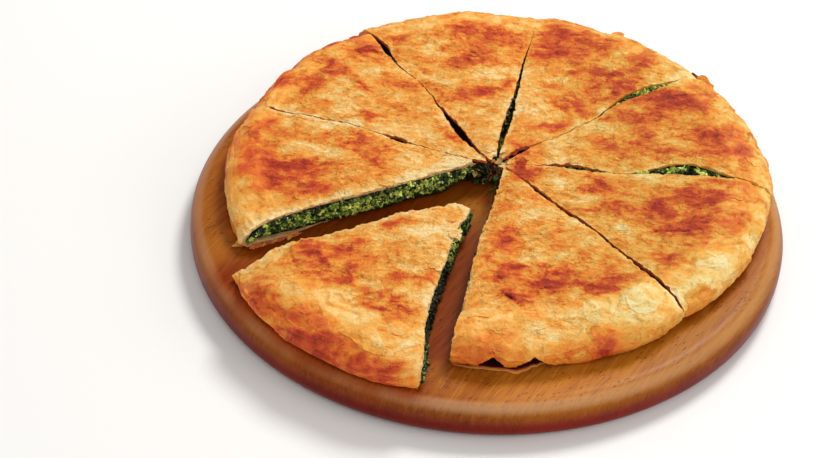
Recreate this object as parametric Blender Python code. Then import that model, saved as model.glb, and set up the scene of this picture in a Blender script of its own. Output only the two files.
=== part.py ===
"""Round spinach and white cheese borek on its wooden board.

The pie is cut into eight slices. Seven keep their place, the eighth is drawn
out towards the front left. Every slice is a folded pastry shell, which runs
over the top, round the rim and back underneath, and a wedge of filling that
fills the pocket and shows at both cut faces and at the tip.

Metres, +Z up. The origin is the middle of the board's underside.
Azimuths are degrees counter-clockwise from +X, seen from above.
"""

import math

import bmesh
import bpy

MM = 0.001

# ---- board -----------------------------------------------------------------
BOARD_R = 152.5 * MM      # outer radius
BOARD_T = 20.0 * MM       # thickness
BOARD_TOP_ROUND = 10.0 * MM   # rounding of the upper edge
BOARD_LOW_ROUND = 8.0 * MM    # rounding of the lower edge
BOARD_STEPS = 64

# ---- pie -------------------------------------------------------------------
PIE_X, PIE_Y = 4.2 * MM, 13.4 * MM   # its middle on the board
PIE_R = 138.7 * MM        # mean radius at the rim
PIE_H = 17.6 * MM         # mean height of the top over the board
RIM_FULL = 0.30           # the rim is widest at this share of the height
UNDERCUT = 2.4 * MM       # how far the rim draws in below that
PRESS = 2.3 * MM          # how far the knife pressed the top down at a cut
PRESS_WIDTH = 6.0 * MM

# ---- pastry and filling ----------------------------------------------------
TOP_SHEET = 1.8 * MM      # pastry over the filling
LOW_SHEET = 1.7 * MM      # pastry under it
RIM_SHEET = 4.6 * MM      # the folded pastry at the rim
CLEAR = 0.3 * MM          # between two pieces that touch

# ---- cuts ------------------------------------------------------------------
# azimuth, how far the cut passes beside the middle and over what distance it
# comes back to its azimuth, depth and length of its waver and where that
# starts, narrowest gap, then the places where it gapes: (distance from the
# middle, extra gap, half length), all in mm but the azimuth
CUTS = {
    "a": (165.0, 5.6, 60.0, 1.0, 74.0, 0.6, 0.8, ((57.0, 2.2, 8.0),)),
    "b": (125.2, 6.0, 60.0, 0.7, 66.0, 2.4, 0.9, ((112.0, 1.6, 12.0), (32.0, 2.8, 22.0))),
    "c": (82.2, 0.4, 60.0, 0.5, 70.0, 0.0, 0.8, ((34.0, 2.3, 26.0), (80.0, 0.6, 22.0))),
    "d": (40.0, -3.1, 60.0, 2.2, 90.0, 1.43, 0.8, ((99.0, 3.0, 19.0), (20.0, 1.4, 9.0))),
    "e": (-1.8, -4.6, 60.0, 2.8, 75.0, -0.36, 0.8, ((98.0, 4.8, 19.0), (38.0, 1.0, 18.0))),
    "f": (-47.2, -1.2, 60.0, 0.6, 82.0, 1.0, 1.2, ((118.0, 0.9, 18.0),)),
    "g": (-97.0, 4.2, 60.0, 0.6, 90.0, 0.5, 0.0, ()),
    "h": (207.0, -1.6, 60.0, 0.8, 84.0, 3.6, 0.0, ()),
    "pulled_left": (205.5, 8.4, 1200.0, 0.8, 78.0, 1.2, 0.0, ()),
    "pulled_right": (-99.1, -1.0, 1200.0, 0.6, 92.0, 5.0, 0.0, ()),
}
WAVER_FULL = 90.0 * MM    # a cut is straight near the middle and wavers fully from here on

# ---- slices ----------------------------------------------------------------
# first cut, second cut (counter-clockwise), where the tip is broken off,
# width of the rounded rim, extra radius, how far the rim's corner at the first
# cut is rounded off, shift of the whole slice in x and y
SLICES = (
    ("slice_1", "a", "h", 13.5, 15.0, 0.8, 0.6, 0.0, 0.0),
    ("slice_2", "b", "a", 9.5, 15.0, -0.4, 0.5, 0.0, 0.0),
    ("slice_3", "c", "b", 7.0, 14.5, -0.9, 0.5, 0.0, 0.0),
    ("slice_4", "d", "c", 6.5, 14.5, 0.3, 0.5, 0.0, 0.0),
    ("slice_5", "e", "d", 8.0, 15.5, 1.4, 0.5, 0.0, 0.0),
    ("slice_6", "f", "e", 9.5, 17.5, -0.4, 0.8, 0.0, 0.0),
    ("slice_7", "g", "f", 11.5, 19.0, 1.2, 1.0, 0.0, 0.0),
    ("slice_8", "pulled_left", "pulled_right", 19.0, 23.0, 0.4, 9.0, -8.2, -20.4),
)
CORNER_WIDTH = 0.15       # over this share of the slice's width

# long soft waves of the top: depth and two wave numbers per metre
WAVES = ((0.55, 78.0, 31.0, 0.4), (0.42, -46.0, 92.0, 1.9), (0.32, 121.0, -88.0, 3.1))

ACROSS = (0.0, 0.05, 0.14, 0.3, 0.5, 0.7, 0.86, 0.95, 1.0)
ALONG = (0.0, 0.12, 0.26, 0.4, 0.54, 0.68, 0.8, 0.91, 1.0)
RIM_STEPS = 6


def cut_offset(cut, r):
    """How far the cut's middle line lies beside its azimuth, r from the pie's middle."""
    _, beside, back, depth, length, start, _, _ = CUTS[cut]
    waver = depth * math.sin(2 * math.pi * r / (length * MM) + start)
    return MM * (
        beside * math.exp(-((r / (back * MM)) ** 2)) + waver * min(1.0, r / WAVER_FULL)
    )


def cut_gap(cut, r):
    narrow, gapes = CUTS[cut][6:]
    return MM * (
        narrow
        + sum(w * math.exp(-(((r - at * MM) / (half * MM)) ** 2)) for at, w, half in gapes)
    )


def side_azimuth(cut, r, side):
    """Azimuth of one wall of a cut. side is +1 on its counter-clockwise wall, -1 on the other."""
    beside = cut_offset(cut, r) + side * cut_gap(cut, r) / 2
    return math.radians(CUTS[cut][0]) + beside / max(r, 4 * MM)


def outline(azimuth, extra):
    """Radius of the pie's rim."""
    return (
        PIE_R
        + extra * MM
        + MM * (0.7 * math.sin(3 * azimuth + 0.8) + 0.5 * math.sin(7 * azimuth + 2.1))
    )


def top_height(x, y, from_cut):
    """Height of the top over the board, before it rounds off at the rim."""
    h = PIE_H + MM * sum(
        d * math.sin(kx * x + ky * y + start) for d, kx, ky, start in WAVES
    )
    return h - PRESS * math.exp(-((from_cut / PRESS_WIDTH) ** 2))


def slice_point(piece, u, r):
    """Place in plan of the point u of the way across the slice, r from the pie's middle, and its distance from the nearer cut."""
    _, first, second, _, _, _, _, dx, dy = piece
    a = side_azimuth(first, r, 1)
    b = side_azimuth(second, r, -1)
    while b < a:
        b += 2 * math.pi
    azimuth = a + u * (b - a)
    from_cut = min(u, 1 - u) * (b - a) * r
    x, y = r * math.cos(azimuth), r * math.sin(azimuth)
    return x + dx * MM, y + dy * MM, azimuth, from_cut


def section(piece, u, inset_top, inset_rim, inset_low):
    """One radial section of the slice as (x, y, z) over the board: tip, top, rim, then back underneath to the tip.

    The insets move the outline inwards, so the same section makes the outside
    of the pastry, its inside and the outside of the filling.
    """
    _, _, _, tip, rim, extra, corner, _, _ = piece
    tip, rim = tip * MM, rim * MM
    reach = outline(slice_point(piece, u, PIE_R)[2], extra)
    reach -= corner * MM * math.exp(-((u / CORNER_WIDTH) ** 2))
    shoulder = reach - rim
    points = []
    for t in ALONG:
        r = tip + t * (shoulder - tip)
        x, y, _, d = slice_point(piece, u, r)
        points.append((r, top_height(x, y, d) - inset_top))
    crest = points[-1][1]
    low = CLEAR + inset_low
    waist = max(CLEAR + RIM_FULL * PIE_H, low + 0.4 * MM)
    for i in range(1, RIM_STEPS + 1):
        t = 0.5 * math.pi * i / RIM_STEPS
        points.append(
            (
                shoulder + (rim - inset_rim) * math.sin(t),
                waist + (crest - waist) * math.cos(t) ** 0.9,
            )
        )
    foot = reach - inset_rim - UNDERCUT * (1 - 0.5 * inset_low / LOW_SHEET)
    points.append((foot + 0.55 * UNDERCUT, low + 0.35 * (waist - low)))
    points.append((foot - 0.6 * MM, low))
    for t in reversed(ALONG[:-1]):
        points.append((tip + t * (shoulder - tip), low))
    out = []
    for r, z in points:
        x, y, _, _ = slice_point(piece, u, r)
        out.append((PIE_X + x, PIE_Y + y, BOARD_T + z))
    return out


def new_object(name, bm, material):
    bmesh.ops.recalc_face_normals(bm, faces=bm.faces)
    mesh = bpy.data.meshes.new(name)
    bm.to_mesh(mesh)
    bm.free()
    mesh.shade_smooth()
    mesh.set_sharp_from_angle(angle=math.radians(40))
    mesh.materials.append(material)
    obj = bpy.data.objects.new(name, mesh)
    bpy.context.scene.collection.objects.link(obj)
    return obj


def material(name, colour, roughness):
    made = bpy.data.materials.new(name)
    made.use_nodes = True
    shader = made.node_tree.nodes["Principled BSDF"]
    shader.inputs["Base Color"].default_value = (*colour, 1.0)
    shader.inputs["Roughness"].default_value = roughness
    shader.inputs["Metallic"].default_value = 0.0
    return made


def quad_strip(bm, one, other):
    for i in range(len(one) - 1):
        bm.faces.new((one[i], one[i + 1], other[i + 1], other[i]))


def make_board(finish):
    """A turned disc: its half section is spun round the middle."""
    steps = 5
    profile = [(0.0, 0.0)]
    for i in range(steps + 1):
        t = 0.5 * math.pi * i / steps
        profile.append(
            (
                BOARD_R - BOARD_LOW_ROUND * (1 - math.sin(t)),
                BOARD_LOW_ROUND * (1 - math.cos(t)),
            )
        )
    for i in range(steps + 1):
        t = 0.5 * math.pi * i / steps
        profile.append(
            (
                BOARD_R - BOARD_TOP_ROUND * (1 - math.cos(t)),
                BOARD_T - BOARD_TOP_ROUND * (1 - math.sin(t)),
            )
        )
    profile.append((0.0, BOARD_T))
    bm = bmesh.new()
    verts = [bm.verts.new((x, 0.0, z)) for x, z in profile]
    edges = [bm.edges.new(pair) for pair in zip(verts, verts[1:])]
    bmesh.ops.spin(
        bm,
        geom=verts + edges,
        cent=(0, 0, 0),
        axis=(0, 0, 1),
        angle=2 * math.pi,
        steps=BOARD_STEPS,
        use_merge=True,
    )
    bmesh.ops.remove_doubles(bm, verts=bm.verts, dist=0.00001)
    return new_object("board", bm, finish)


def make_pastry(piece, finish):
    """The folded shell: outside and inside sections side by side, joined along both cut faces and at the tip."""
    bm = bmesh.new()
    outside, inside = [], []
    for u in ACROSS:
        outside.append([bm.verts.new(p) for p in section(piece, u, 0.0, 0.0, 0.0)])
        inside.append(
            [
                bm.verts.new(p)
                for p in section(piece, u, TOP_SHEET, RIM_SHEET, LOW_SHEET)
            ]
        )
    for i in range(len(ACROSS) - 1):
        quad_strip(bm, outside[i], outside[i + 1])
        quad_strip(bm, inside[i], inside[i + 1])
        for end in (0, -1):
            bm.faces.new(
                (outside[i][end], outside[i + 1][end], inside[i + 1][end], inside[i][end])
            )
    for end in (0, -1):
        quad_strip(bm, outside[end], inside[end])
    return new_object(piece[0] + "_pastry", bm, finish)


def make_filling(piece, finish):
    """The wedge that fills the pocket, flush with the pastry at the cut faces and at the tip."""
    bm = bmesh.new()
    rows = []
    for u in ACROSS:
        rows.append(
            [
                bm.verts.new(p)
                for p in section(
                    piece,
                    u,
                    TOP_SHEET + CLEAR,
                    RIM_SHEET + CLEAR,
                    LOW_SHEET + CLEAR,
                )
            ]
        )
    for i in range(len(ACROSS) - 1):
        quad_strip(bm, rows[i], rows[i + 1])
        bm.faces.new((rows[i][0], rows[i + 1][0], rows[i + 1][-1], rows[i][-1]))
    count = len(rows[0])
    for end in (0, -1):
        row = rows[end]
        for i in range((count - 1) // 2):
            j = count - 1 - i
            if j - i == 2:
                bm.faces.new((row[i], row[i + 1], row[j]))
            elif j - i > 2:
                bm.faces.new((row[i], row[i + 1], row[j - 1], row[j]))
    return new_object(piece[0] + "_filling", bm, finish)


def main():
    for obj in list(bpy.data.objects):
        bpy.data.objects.remove(obj, do_unlink=True)
    wood = material("beech", (0.50, 0.29, 0.14), 0.45)
    pastry = material("baked_pastry", (0.73, 0.42, 0.13), 0.55)
    filling = material("spinach_and_cheese", (0.13, 0.19, 0.04), 0.5)
    make_board(wood)
    for piece in SLICES:
        make_pastry(piece, pastry)
        make_filling(piece, filling)


main()
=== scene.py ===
import math

import bpy
import numpy as np
from mathutils import Matrix, Vector


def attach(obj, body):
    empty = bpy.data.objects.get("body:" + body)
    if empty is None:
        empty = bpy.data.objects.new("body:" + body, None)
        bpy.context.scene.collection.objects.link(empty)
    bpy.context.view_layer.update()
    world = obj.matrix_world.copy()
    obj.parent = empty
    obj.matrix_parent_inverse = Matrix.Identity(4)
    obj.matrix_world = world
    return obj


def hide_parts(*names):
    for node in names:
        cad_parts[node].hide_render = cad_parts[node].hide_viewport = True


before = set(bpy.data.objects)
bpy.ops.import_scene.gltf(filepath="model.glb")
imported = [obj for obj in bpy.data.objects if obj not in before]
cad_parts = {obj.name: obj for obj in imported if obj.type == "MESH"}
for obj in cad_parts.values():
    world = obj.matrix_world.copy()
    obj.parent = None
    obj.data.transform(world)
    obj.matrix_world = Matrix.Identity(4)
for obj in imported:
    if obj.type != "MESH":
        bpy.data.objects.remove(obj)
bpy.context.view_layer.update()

MM = 0.001
WIDTH, HEIGHT = 826, 458

# ============================================================================
# The pie's plan and section, the same rules as the solid model, in millimetres.
# "Pie coordinates" have their origin at the pie's middle, and a slice that was
# drawn out keeps there the place that it was baked in.
# ============================================================================
BOARD_R, BOARD_T, BOARD_TOP_ROUND, BOARD_LOW_ROUND = 152.5, 20.0, 10.0, 8.0
PIE_X, PIE_Y, PIE_R, PIE_H = 4.2, 13.4, 138.7, 17.6
RIM_FULL, UNDERCUT = 0.30, 2.4
TOP_SHEET, LOW_SHEET, RIM_SHEET = 0.95, 1.5, 3.4
LIFT = 0.35
WAVER_FULL = 90.0
CORNER_WIDTH = 0.15
WAVES = ((0.55, 78.0, 31.0, 0.4), (0.42, -46.0, 92.0, 1.9), (0.32, 121.0, -88.0, 3.1))
CUTS = {
    "a": (164.9, 5.6, 60.0, 1.1, 50.0, 0.82, 0.8, ((54.0, 2.8, 5.5), (122.0, 0.5, 7.0), (98.0, 0.25, 12.0))),
    "b": (125.2, 6.2, 47.0, 1.15, 48.0, 1.18, 1.0, ((113.0, 2.8, 10.0), (30.0, 3.9, 15.0), (134.0, -0.6, 8.0), (80.0, -0.25, 12.0))),
    "c": (82.2, 0.4, 60.0, 0.5, 70.0, 0.0, 0.7, ((30.0, 3.2, 24.0), (78.0, 0.7, 20.0), (124.0, -0.4, 18.0))),
    "d": (40.0, -3.1, 60.0, 2.2, 90.0, 1.43, 0.7, ((99.0, 4.6, 18.0), (11.0, 3.4, 8.0), (132.0, -0.85, 22.0))),
    "e": (-1.8, -4.6, 60.0, 2.8, 75.0, -0.36, 0.6, ((95.5, 6.2, 19.5), (41.0, 3.3, 13.0), (65.0, -0.7, 8.0), (132.0, -0.78, 22.0))),
    "f": (-47.2, -1.2, 60.0, 0.6, 82.0, 1.0, 1.1, ((112.0, 1.5, 20.0), (58.0, 1.1, 12.0), (34.0, 0.9, 8.0), (14.0, -0.6, 9.0))),
    "g": (-97.0, 4.2, 60.0, 0.6, 90.0, 0.5, 0.0, ()),
    "h": (207.0, -1.6, 60.0, 0.8, 84.0, 3.6, 0.0, ()),
    "pulled_left": (205.5, 8.4, 1200.0, 0.8, 78.0, 1.2, 0.0, ()),
    "pulled_right": (-99.1, -1.0, 1200.0, 0.6, 92.0, 5.0, 0.0, ()),
}
OPEN_CUTS = ("g", "h", "pulled_left", "pulled_right")
# first cut, second cut, tip, rim width, extra radius, corner, shift x, shift y
SLICES = {
    "slice_1": ("a", "h", 13.5, 15.0, 0.8, 0.6, 0.0, 0.0),
    "slice_2": ("b", "a", 6.5, 15.0, -1.6, 0.5, 0.0, 0.0),
    "slice_3": ("c", "b", 3.2, 14.5, -0.6, -0.6, 0.0, 0.0),
    "slice_4": ("d", "c", 2.6, 14.5, 0.3, 0.5, 0.0, 0.0),
    "slice_5": ("e", "d", 6.0, 15.5, 1.4, 0.5, 0.0, 0.0),
    "slice_6": ("f", "e", 7.5, 17.5, -0.4, 3.0, 0.0, 0.0),
    "slice_7": ("g", "f", 8.5, 19.0, 1.2, 1.0, 0.0, 0.0),
    "slice_8": ("pulled_left", "pulled_right", 19.0, 23.0, 0.4, 4.8, -8.2, -20.4),
}
# the outline also draws back beside the second cut of some slices
LAST_CORNER = {"slice_7": 3.0, "slice_8": 2.0, "slice_5": 1.0, "slice_3": -2.6, "slice_2": 0.8}
# corners where the crust sinks: which cut, share of the height, from and to radius, width beside the cut
SINKS = {"slice_8": (0, 0.75, 98.0, 138.0, 16.0), "slice_1": (1, 0.19, 98.0, 136.0, 26.0)}
# thickness of the crust round the outside, where it isn't the usual one
THIN_RIMS = {"slice_1": 1.8}
# where the lower sheet ends at the tip, when that isn't where the upper one does
LOW_TIPS = {"slice_1": 31.0, "slice_2": 22.0, "slice_3": 12.0, "slice_4": 12.0}

# ---- colours, as they look in daylight (sRGB 0..255) ------------------------


def srgb(r, g, b):
    """Linear colour of an 8-bit one."""
    out = []
    for c in (r, g, b):
        c = c / 255.0
        out.append(c / 12.92 if c <= 0.04045 else ((c + 0.055) / 1.055) ** 2.4)
    return tuple(out)


# ============================================================================
# Noise
# ============================================================================
GRADS = np.array(
    [(1, 1, 0), (-1, 1, 0), (1, -1, 0), (-1, -1, 0), (1, 0, 1), (-1, 0, 1), (1, 0, -1),
     (-1, 0, -1), (0, 1, 1), (0, -1, 1), (0, 1, -1), (0, -1, -1), (1, 1, 0), (-1, 1, 0),
     (0, -1, 1), (0, -1, -1)], np.float32)


def lattice(ix, iy, iz, seed):
    h = (
        ix.astype(np.uint32) * np.uint32(0x8DA6B343)
        ^ iy.astype(np.uint32) * np.uint32(0xD8163841)
        ^ iz.astype(np.uint32) * np.uint32(0xCB1AB31F)
        ^ np.uint32((seed * 0x9E3779B9) & 0xFFFFFFFF)
    )
    h ^= h >> np.uint32(15)
    h *= np.uint32(0x2C1B3C6D)
    h ^= h >> np.uint32(12)
    h *= np.uint32(0x297A2D39)
    h ^= h >> np.uint32(15)
    return h


def noise(x, y, z, seed=0):
    """Gradient noise, about -1 to 1, of arrays of coordinates in cells."""
    x, y, z = np.broadcast_arrays(
        np.asarray(x, np.float32), np.asarray(y, np.float32), np.asarray(z, np.float32)
    )
    ix, iy, iz = (np.floor(c).astype(np.int64) for c in (x, y, z))
    fx, fy, fz = x - ix, y - iy, z - iz
    wx, wy, wz = (f * f * f * (f * (f * 6 - 15) + 10) for f in (fx, fy, fz))
    out = np.zeros(x.shape, np.float32)
    for dx in (0, 1):
        for dy in (0, 1):
            for dz in (0, 1):
                g = GRADS[lattice(ix + dx, iy + dy, iz + dz, seed) & np.uint32(15)]
                dot = g[..., 0] * (fx - dx) + g[..., 1] * (fy - dy) + g[..., 2] * (fz - dz)
                out += (
                    (wx if dx else 1 - wx) * (wy if dy else 1 - wy) * (wz if dz else 1 - wz) * dot
                )
    return out


def layered(x, y, z, seed=0, octaves=3, gain=0.5):
    out, amp, total = 0.0, 1.0, 0.0
    for i in range(octaves):
        k = 2.03**i
        out = out + amp * noise(x * k, y * k, z * k, seed + 17 * i)
        total += amp
        amp *= gain
    return out / total


def ridged(n, sharp=1.0):
    """1 along the zero lines of a noise, falling to 0 beside them."""
    return np.clip(1.0 - np.abs(n) * 2.2 * sharp, 0.0, 1.0) ** 1.6


def smooth(lo, hi, v):
    t = np.clip((v - lo) / (hi - lo), 0.0, 1.0)
    return t * t * (3 - 2 * t)


# ============================================================================
# Plan and section as functions of arrays
# ============================================================================
def cut_offset(cut, r):
    _, beside, back, depth, length, start, _, _ = CUTS[cut]
    waver = depth * np.sin(2 * np.pi * r / length + start)
    return beside * np.exp(-((r / back) ** 2)) + waver * np.minimum(1.0, r / WAVER_FULL)


def cut_gap(cut, r):
    narrow, gapes = CUTS[cut][6:]
    out = np.full_like(r, narrow)
    for at, w, half in gapes:
        out = out + w * np.exp(-(((r - at) / half) ** 2))
    return np.maximum(out, 0.04)


def ragged(cut, side, r):
    """How far the crust's edge lies back from the cut's wall: small tears and a few larger nicks, next to none where the cut is closed."""
    seed = 100 + 7 * sorted(CUTS).index(cut) + (3 if side > 0 else 0)
    fine = noise(r / 1.9, seed, 0.5, seed) * 0.42 + noise(r / 0.9, seed, 2.5, seed + 1) * 0.18
    broad = noise(r / 7.0, seed, 1.5, seed + 2) * 0.45
    nick = np.clip(noise(r / 3.1, seed, 4.5, seed + 3) - 0.28, 0, 1) * 2.8
    if cut in OPEN_CUTS:
        tooth = np.clip(noise(r / 4.6, seed, 8.5, seed + 5) - 0.05, 0, 1) * 2.4
        torn = 0.45 if cut == "pulled_right" else 1.0
        return 0.2 + 1.5 * fine + torn * (1.9 * broad + nick + tooth) + set_back(cut, r)
    if cut == "e" and side < 0:
        # slice 6 is torn back to a straight edge beside the gape
        torn = 2.3 * np.exp(-(((r - 98.0) / 14.0) ** 2))
        return torn + (0.1 + 0.9 * np.clip(torn, 0, 1)) * (fine + broad + nick) - 0.1
    gape = np.clip((cut_gap(cut, r) - 0.8) / 1.2, 0.0, 1.0)
    shut = 0.45 * noise(r / 12.0, seed, 6.5, seed + 4) if side > 0 else 0.0
    return (0.10 + 0.90 * gape) * (fine + broad + nick) - 0.13 + 0.18 * gape - 0.16 * shut


def side_azimuth(cut, r, side, back=0.0):
    """Azimuth of one wall of a cut. side is +1 on its counter-clockwise wall. back is how far into the slice from there."""
    beside = cut_offset(cut, r) + side * (cut_gap(cut, r) / 2 + back)
    return math.radians(CUTS[cut][0]) + beside / np.maximum(r, 4.0)


def outline(azimuth, extra):
    return PIE_R + extra + 0.7 * np.sin(3 * azimuth + 0.8) + 0.5 * np.sin(7 * azimuth + 2.1)


def place(piece, u, r, back0=0.0, back1=0.0):
    """(x, y, azimuth, distances from the two cuts) in pie coordinates."""
    first, second = SLICES[piece][:2]
    a = side_azimuth(first, r, 1, back0)
    b = side_azimuth(second, r, -1, back1)
    turn = math.radians(CUTS[second][0]) - math.radians(CUTS[first][0])
    b = b + 2 * np.pi * math.ceil(-turn / (2 * np.pi)) if turn < 0 else b
    az = a + u * (b - a)
    return r * np.cos(az), r * np.sin(az), az, (u * (b - a) * r, (1 - u) * (b - a) * r)


def reach_of(piece, u):
    first, second, tip, rim, extra, corner = SLICES[piece][:6]
    r = np.full_like(u, PIE_R)
    _, _, az, _ = place(piece, u, r)
    last = LAST_CORNER.get(piece, 0.0)
    return outline(az, extra) - corner * np.exp(-((u / CORNER_WIDTH) ** 2)) - last * np.exp(-(((1 - u) / 0.1) ** 2))


def sunk(piece, z, d, r):
    """Heights with the sunken corner taken in."""
    if piece not in SINKS:
        return z
    side, share, r0, r1, width = SINKS[piece]
    return LIFT + (z - LIFT) * (1 - share * np.exp(-((d[side] / width) ** 2)) * smooth(r0, r1, r))


def curled(piece, d, r):
    """How far the lower sheet's edge curls off the board."""
    if piece == "slice_1":
        return 2.5 * np.exp(-((d[1] / 8.0) ** 2)) * smooth(20, 50, r) * (1 + 0.3 * noise(r / 13.0, 0.5, 0.5, 611))
    return 0.0


def thickened(piece, d, r):
    """How much thicker the lower sheet is beside the cut, or thinner with a minus."""
    if piece == "slice_1":
        return (1.6 * smooth(112, 131, r) - 0.85) * np.exp(-((d[1] / 12.0) ** 2))
    return 0.0


def set_back(cut, r):
    """How far the drawn-out slice's right side lies back from the plain wall."""
    if cut == "pulled_right":
        return 3.4 * smooth(20, 38, r) * (1 - smooth(106, 130, r))
    return 0.0 * r


def foot_recess(cut, side, r):
    """How much further back the lower sheet ends than the upper one."""
    if cut == "h":
        return 3.2 * (1 - smooth(84, 97, r)) - 1.6 * smooth(103, 114, r) * (1 - smooth(126, 135, r)) + 1.2 * noise(r / 5.0, 0.5, 0.5, 621)
    if cut == "pulled_right":
        return 1.0 + 0.4 * set_back(cut, r) + 0.5 * noise(r / 5.0, 0.5, 0.5, 631)
    if cut == "g":
        return 0.8
    return 0.0 * r


# how far the knife bent the crust down beside each cut
BENT = {"a": 0.7, "b": 1.0, "c": 0.8, "d": 0.9, "e": 0.8, "f": 1.2, "g": 1.7, "h": 1.6,
        "pulled_left": 1.8, "pulled_right": 1.7}


def top_height(piece, x, y, from_cuts, r, u):
    dx, dy = SLICES[piece][6:]
    wx, wy = (x + dx) * MM, (y + dy) * MM
    h = PIE_H + sum(d * np.sin(kx * wx + ky * wy + s) for d, kx, ky, s in WAVES)
    press = 0.0
    for cut, d in zip(SLICES[piece][:2], from_cuts):
        shut = 1.0 if cut in OPEN_CUTS else np.clip(cut_gap(cut, r) / 0.7, 0.1, 1.0)
        press = press + BENT[cut] * (
            0.55 * shut * np.exp(-((d / 1.8) ** 2)) + 0.5 * np.exp(-((d / 6.0) ** 2))
        )
    if piece == "slice_5":
        raised = np.exp(-(((r - 99.0) / 17.0) ** 2)) * np.exp(-((u * 5.0) ** 2))
        press = press - 1.5 * raised
    return h - press


def section(piece, u, kind, t, inset=0.0, back0=0.0, back1=0.0):
    """Point of the crust's surface. kind is top, rim, foot or under, t runs 0 to 1 along it, inset is the share of the sheet's thickness below its outside.

    Returns x, y, z, the outward normal's radial and upright part, azimuth and distance from the cut.
    """
    _, _, tip, rim, extra, corner, _, _ = SLICES[piece]
    reach = reach_of(piece, u)
    shoulder = reach - rim
    d_top, d_rim, d_low = TOP_SHEET * inset, THIN_RIMS.get(piece, RIM_SHEET) * inset, LOW_SHEET * inset
    low = LIFT + d_low
    waist = max(LIFT + RIM_FULL * PIE_H, low + 0.4)
    if kind == "top":
        r = tip + t * (shoulder - tip)
        x, y, az, d = place(piece, u, r, back0, back1)
        z = top_height(piece, x, y, d, r, u) - d_top
        nr, nz = np.zeros_like(r), np.ones_like(r)
    elif kind == "rim":
        x, y, az, d = place(piece, u, shoulder, back0, back1)
        crest = top_height(piece, x, y, d, shoulder, u) - d_top
        ang = 0.5 * np.pi * t
        r = shoulder + (rim - d_rim) * np.sin(ang)
        c = np.maximum(np.cos(ang), 1e-4)
        z = waist + (crest - waist) * c**0.9
        nr = 0.9 * (crest - waist) * np.sin(ang) / c**0.1
        nz = rim * c
        length = np.hypot(nr, nz)
        nr, nz = nr / length, nz / length
        x, y, az, d = place(piece, u, r, back0, back1)
    elif kind == "foot":
        r = reach - d_rim - UNDERCUT * t**1.4 * (1 - 0.5 * inset)
        z = waist + (low - waist) * t
        x, y, az, d = place(piece, u, r, back0, back1)
        z = z + curled(piece, d, r) + inset * t * thickened(piece, d, r)
        nr, nz = np.full_like(r, 0.9), np.full_like(r, -0.35)
    else:
        foot = reach - d_rim - UNDERCUT * (1 - 0.5 * inset) - 0.3
        r = foot + t * (LOW_TIPS.get(piece, tip) - foot)
        x, y, az, d = place(piece, u, r, back0, back1)
        z = np.full_like(r, low) + curled(piece, d, r) + inset * thickened(piece, d, r)
        nr, nz = np.zeros_like(r), -np.ones_like(r)
    z = sunk(piece, z, d, r)
    return x, y, z, nr, nz, az, np.minimum(*d), r, d


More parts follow.
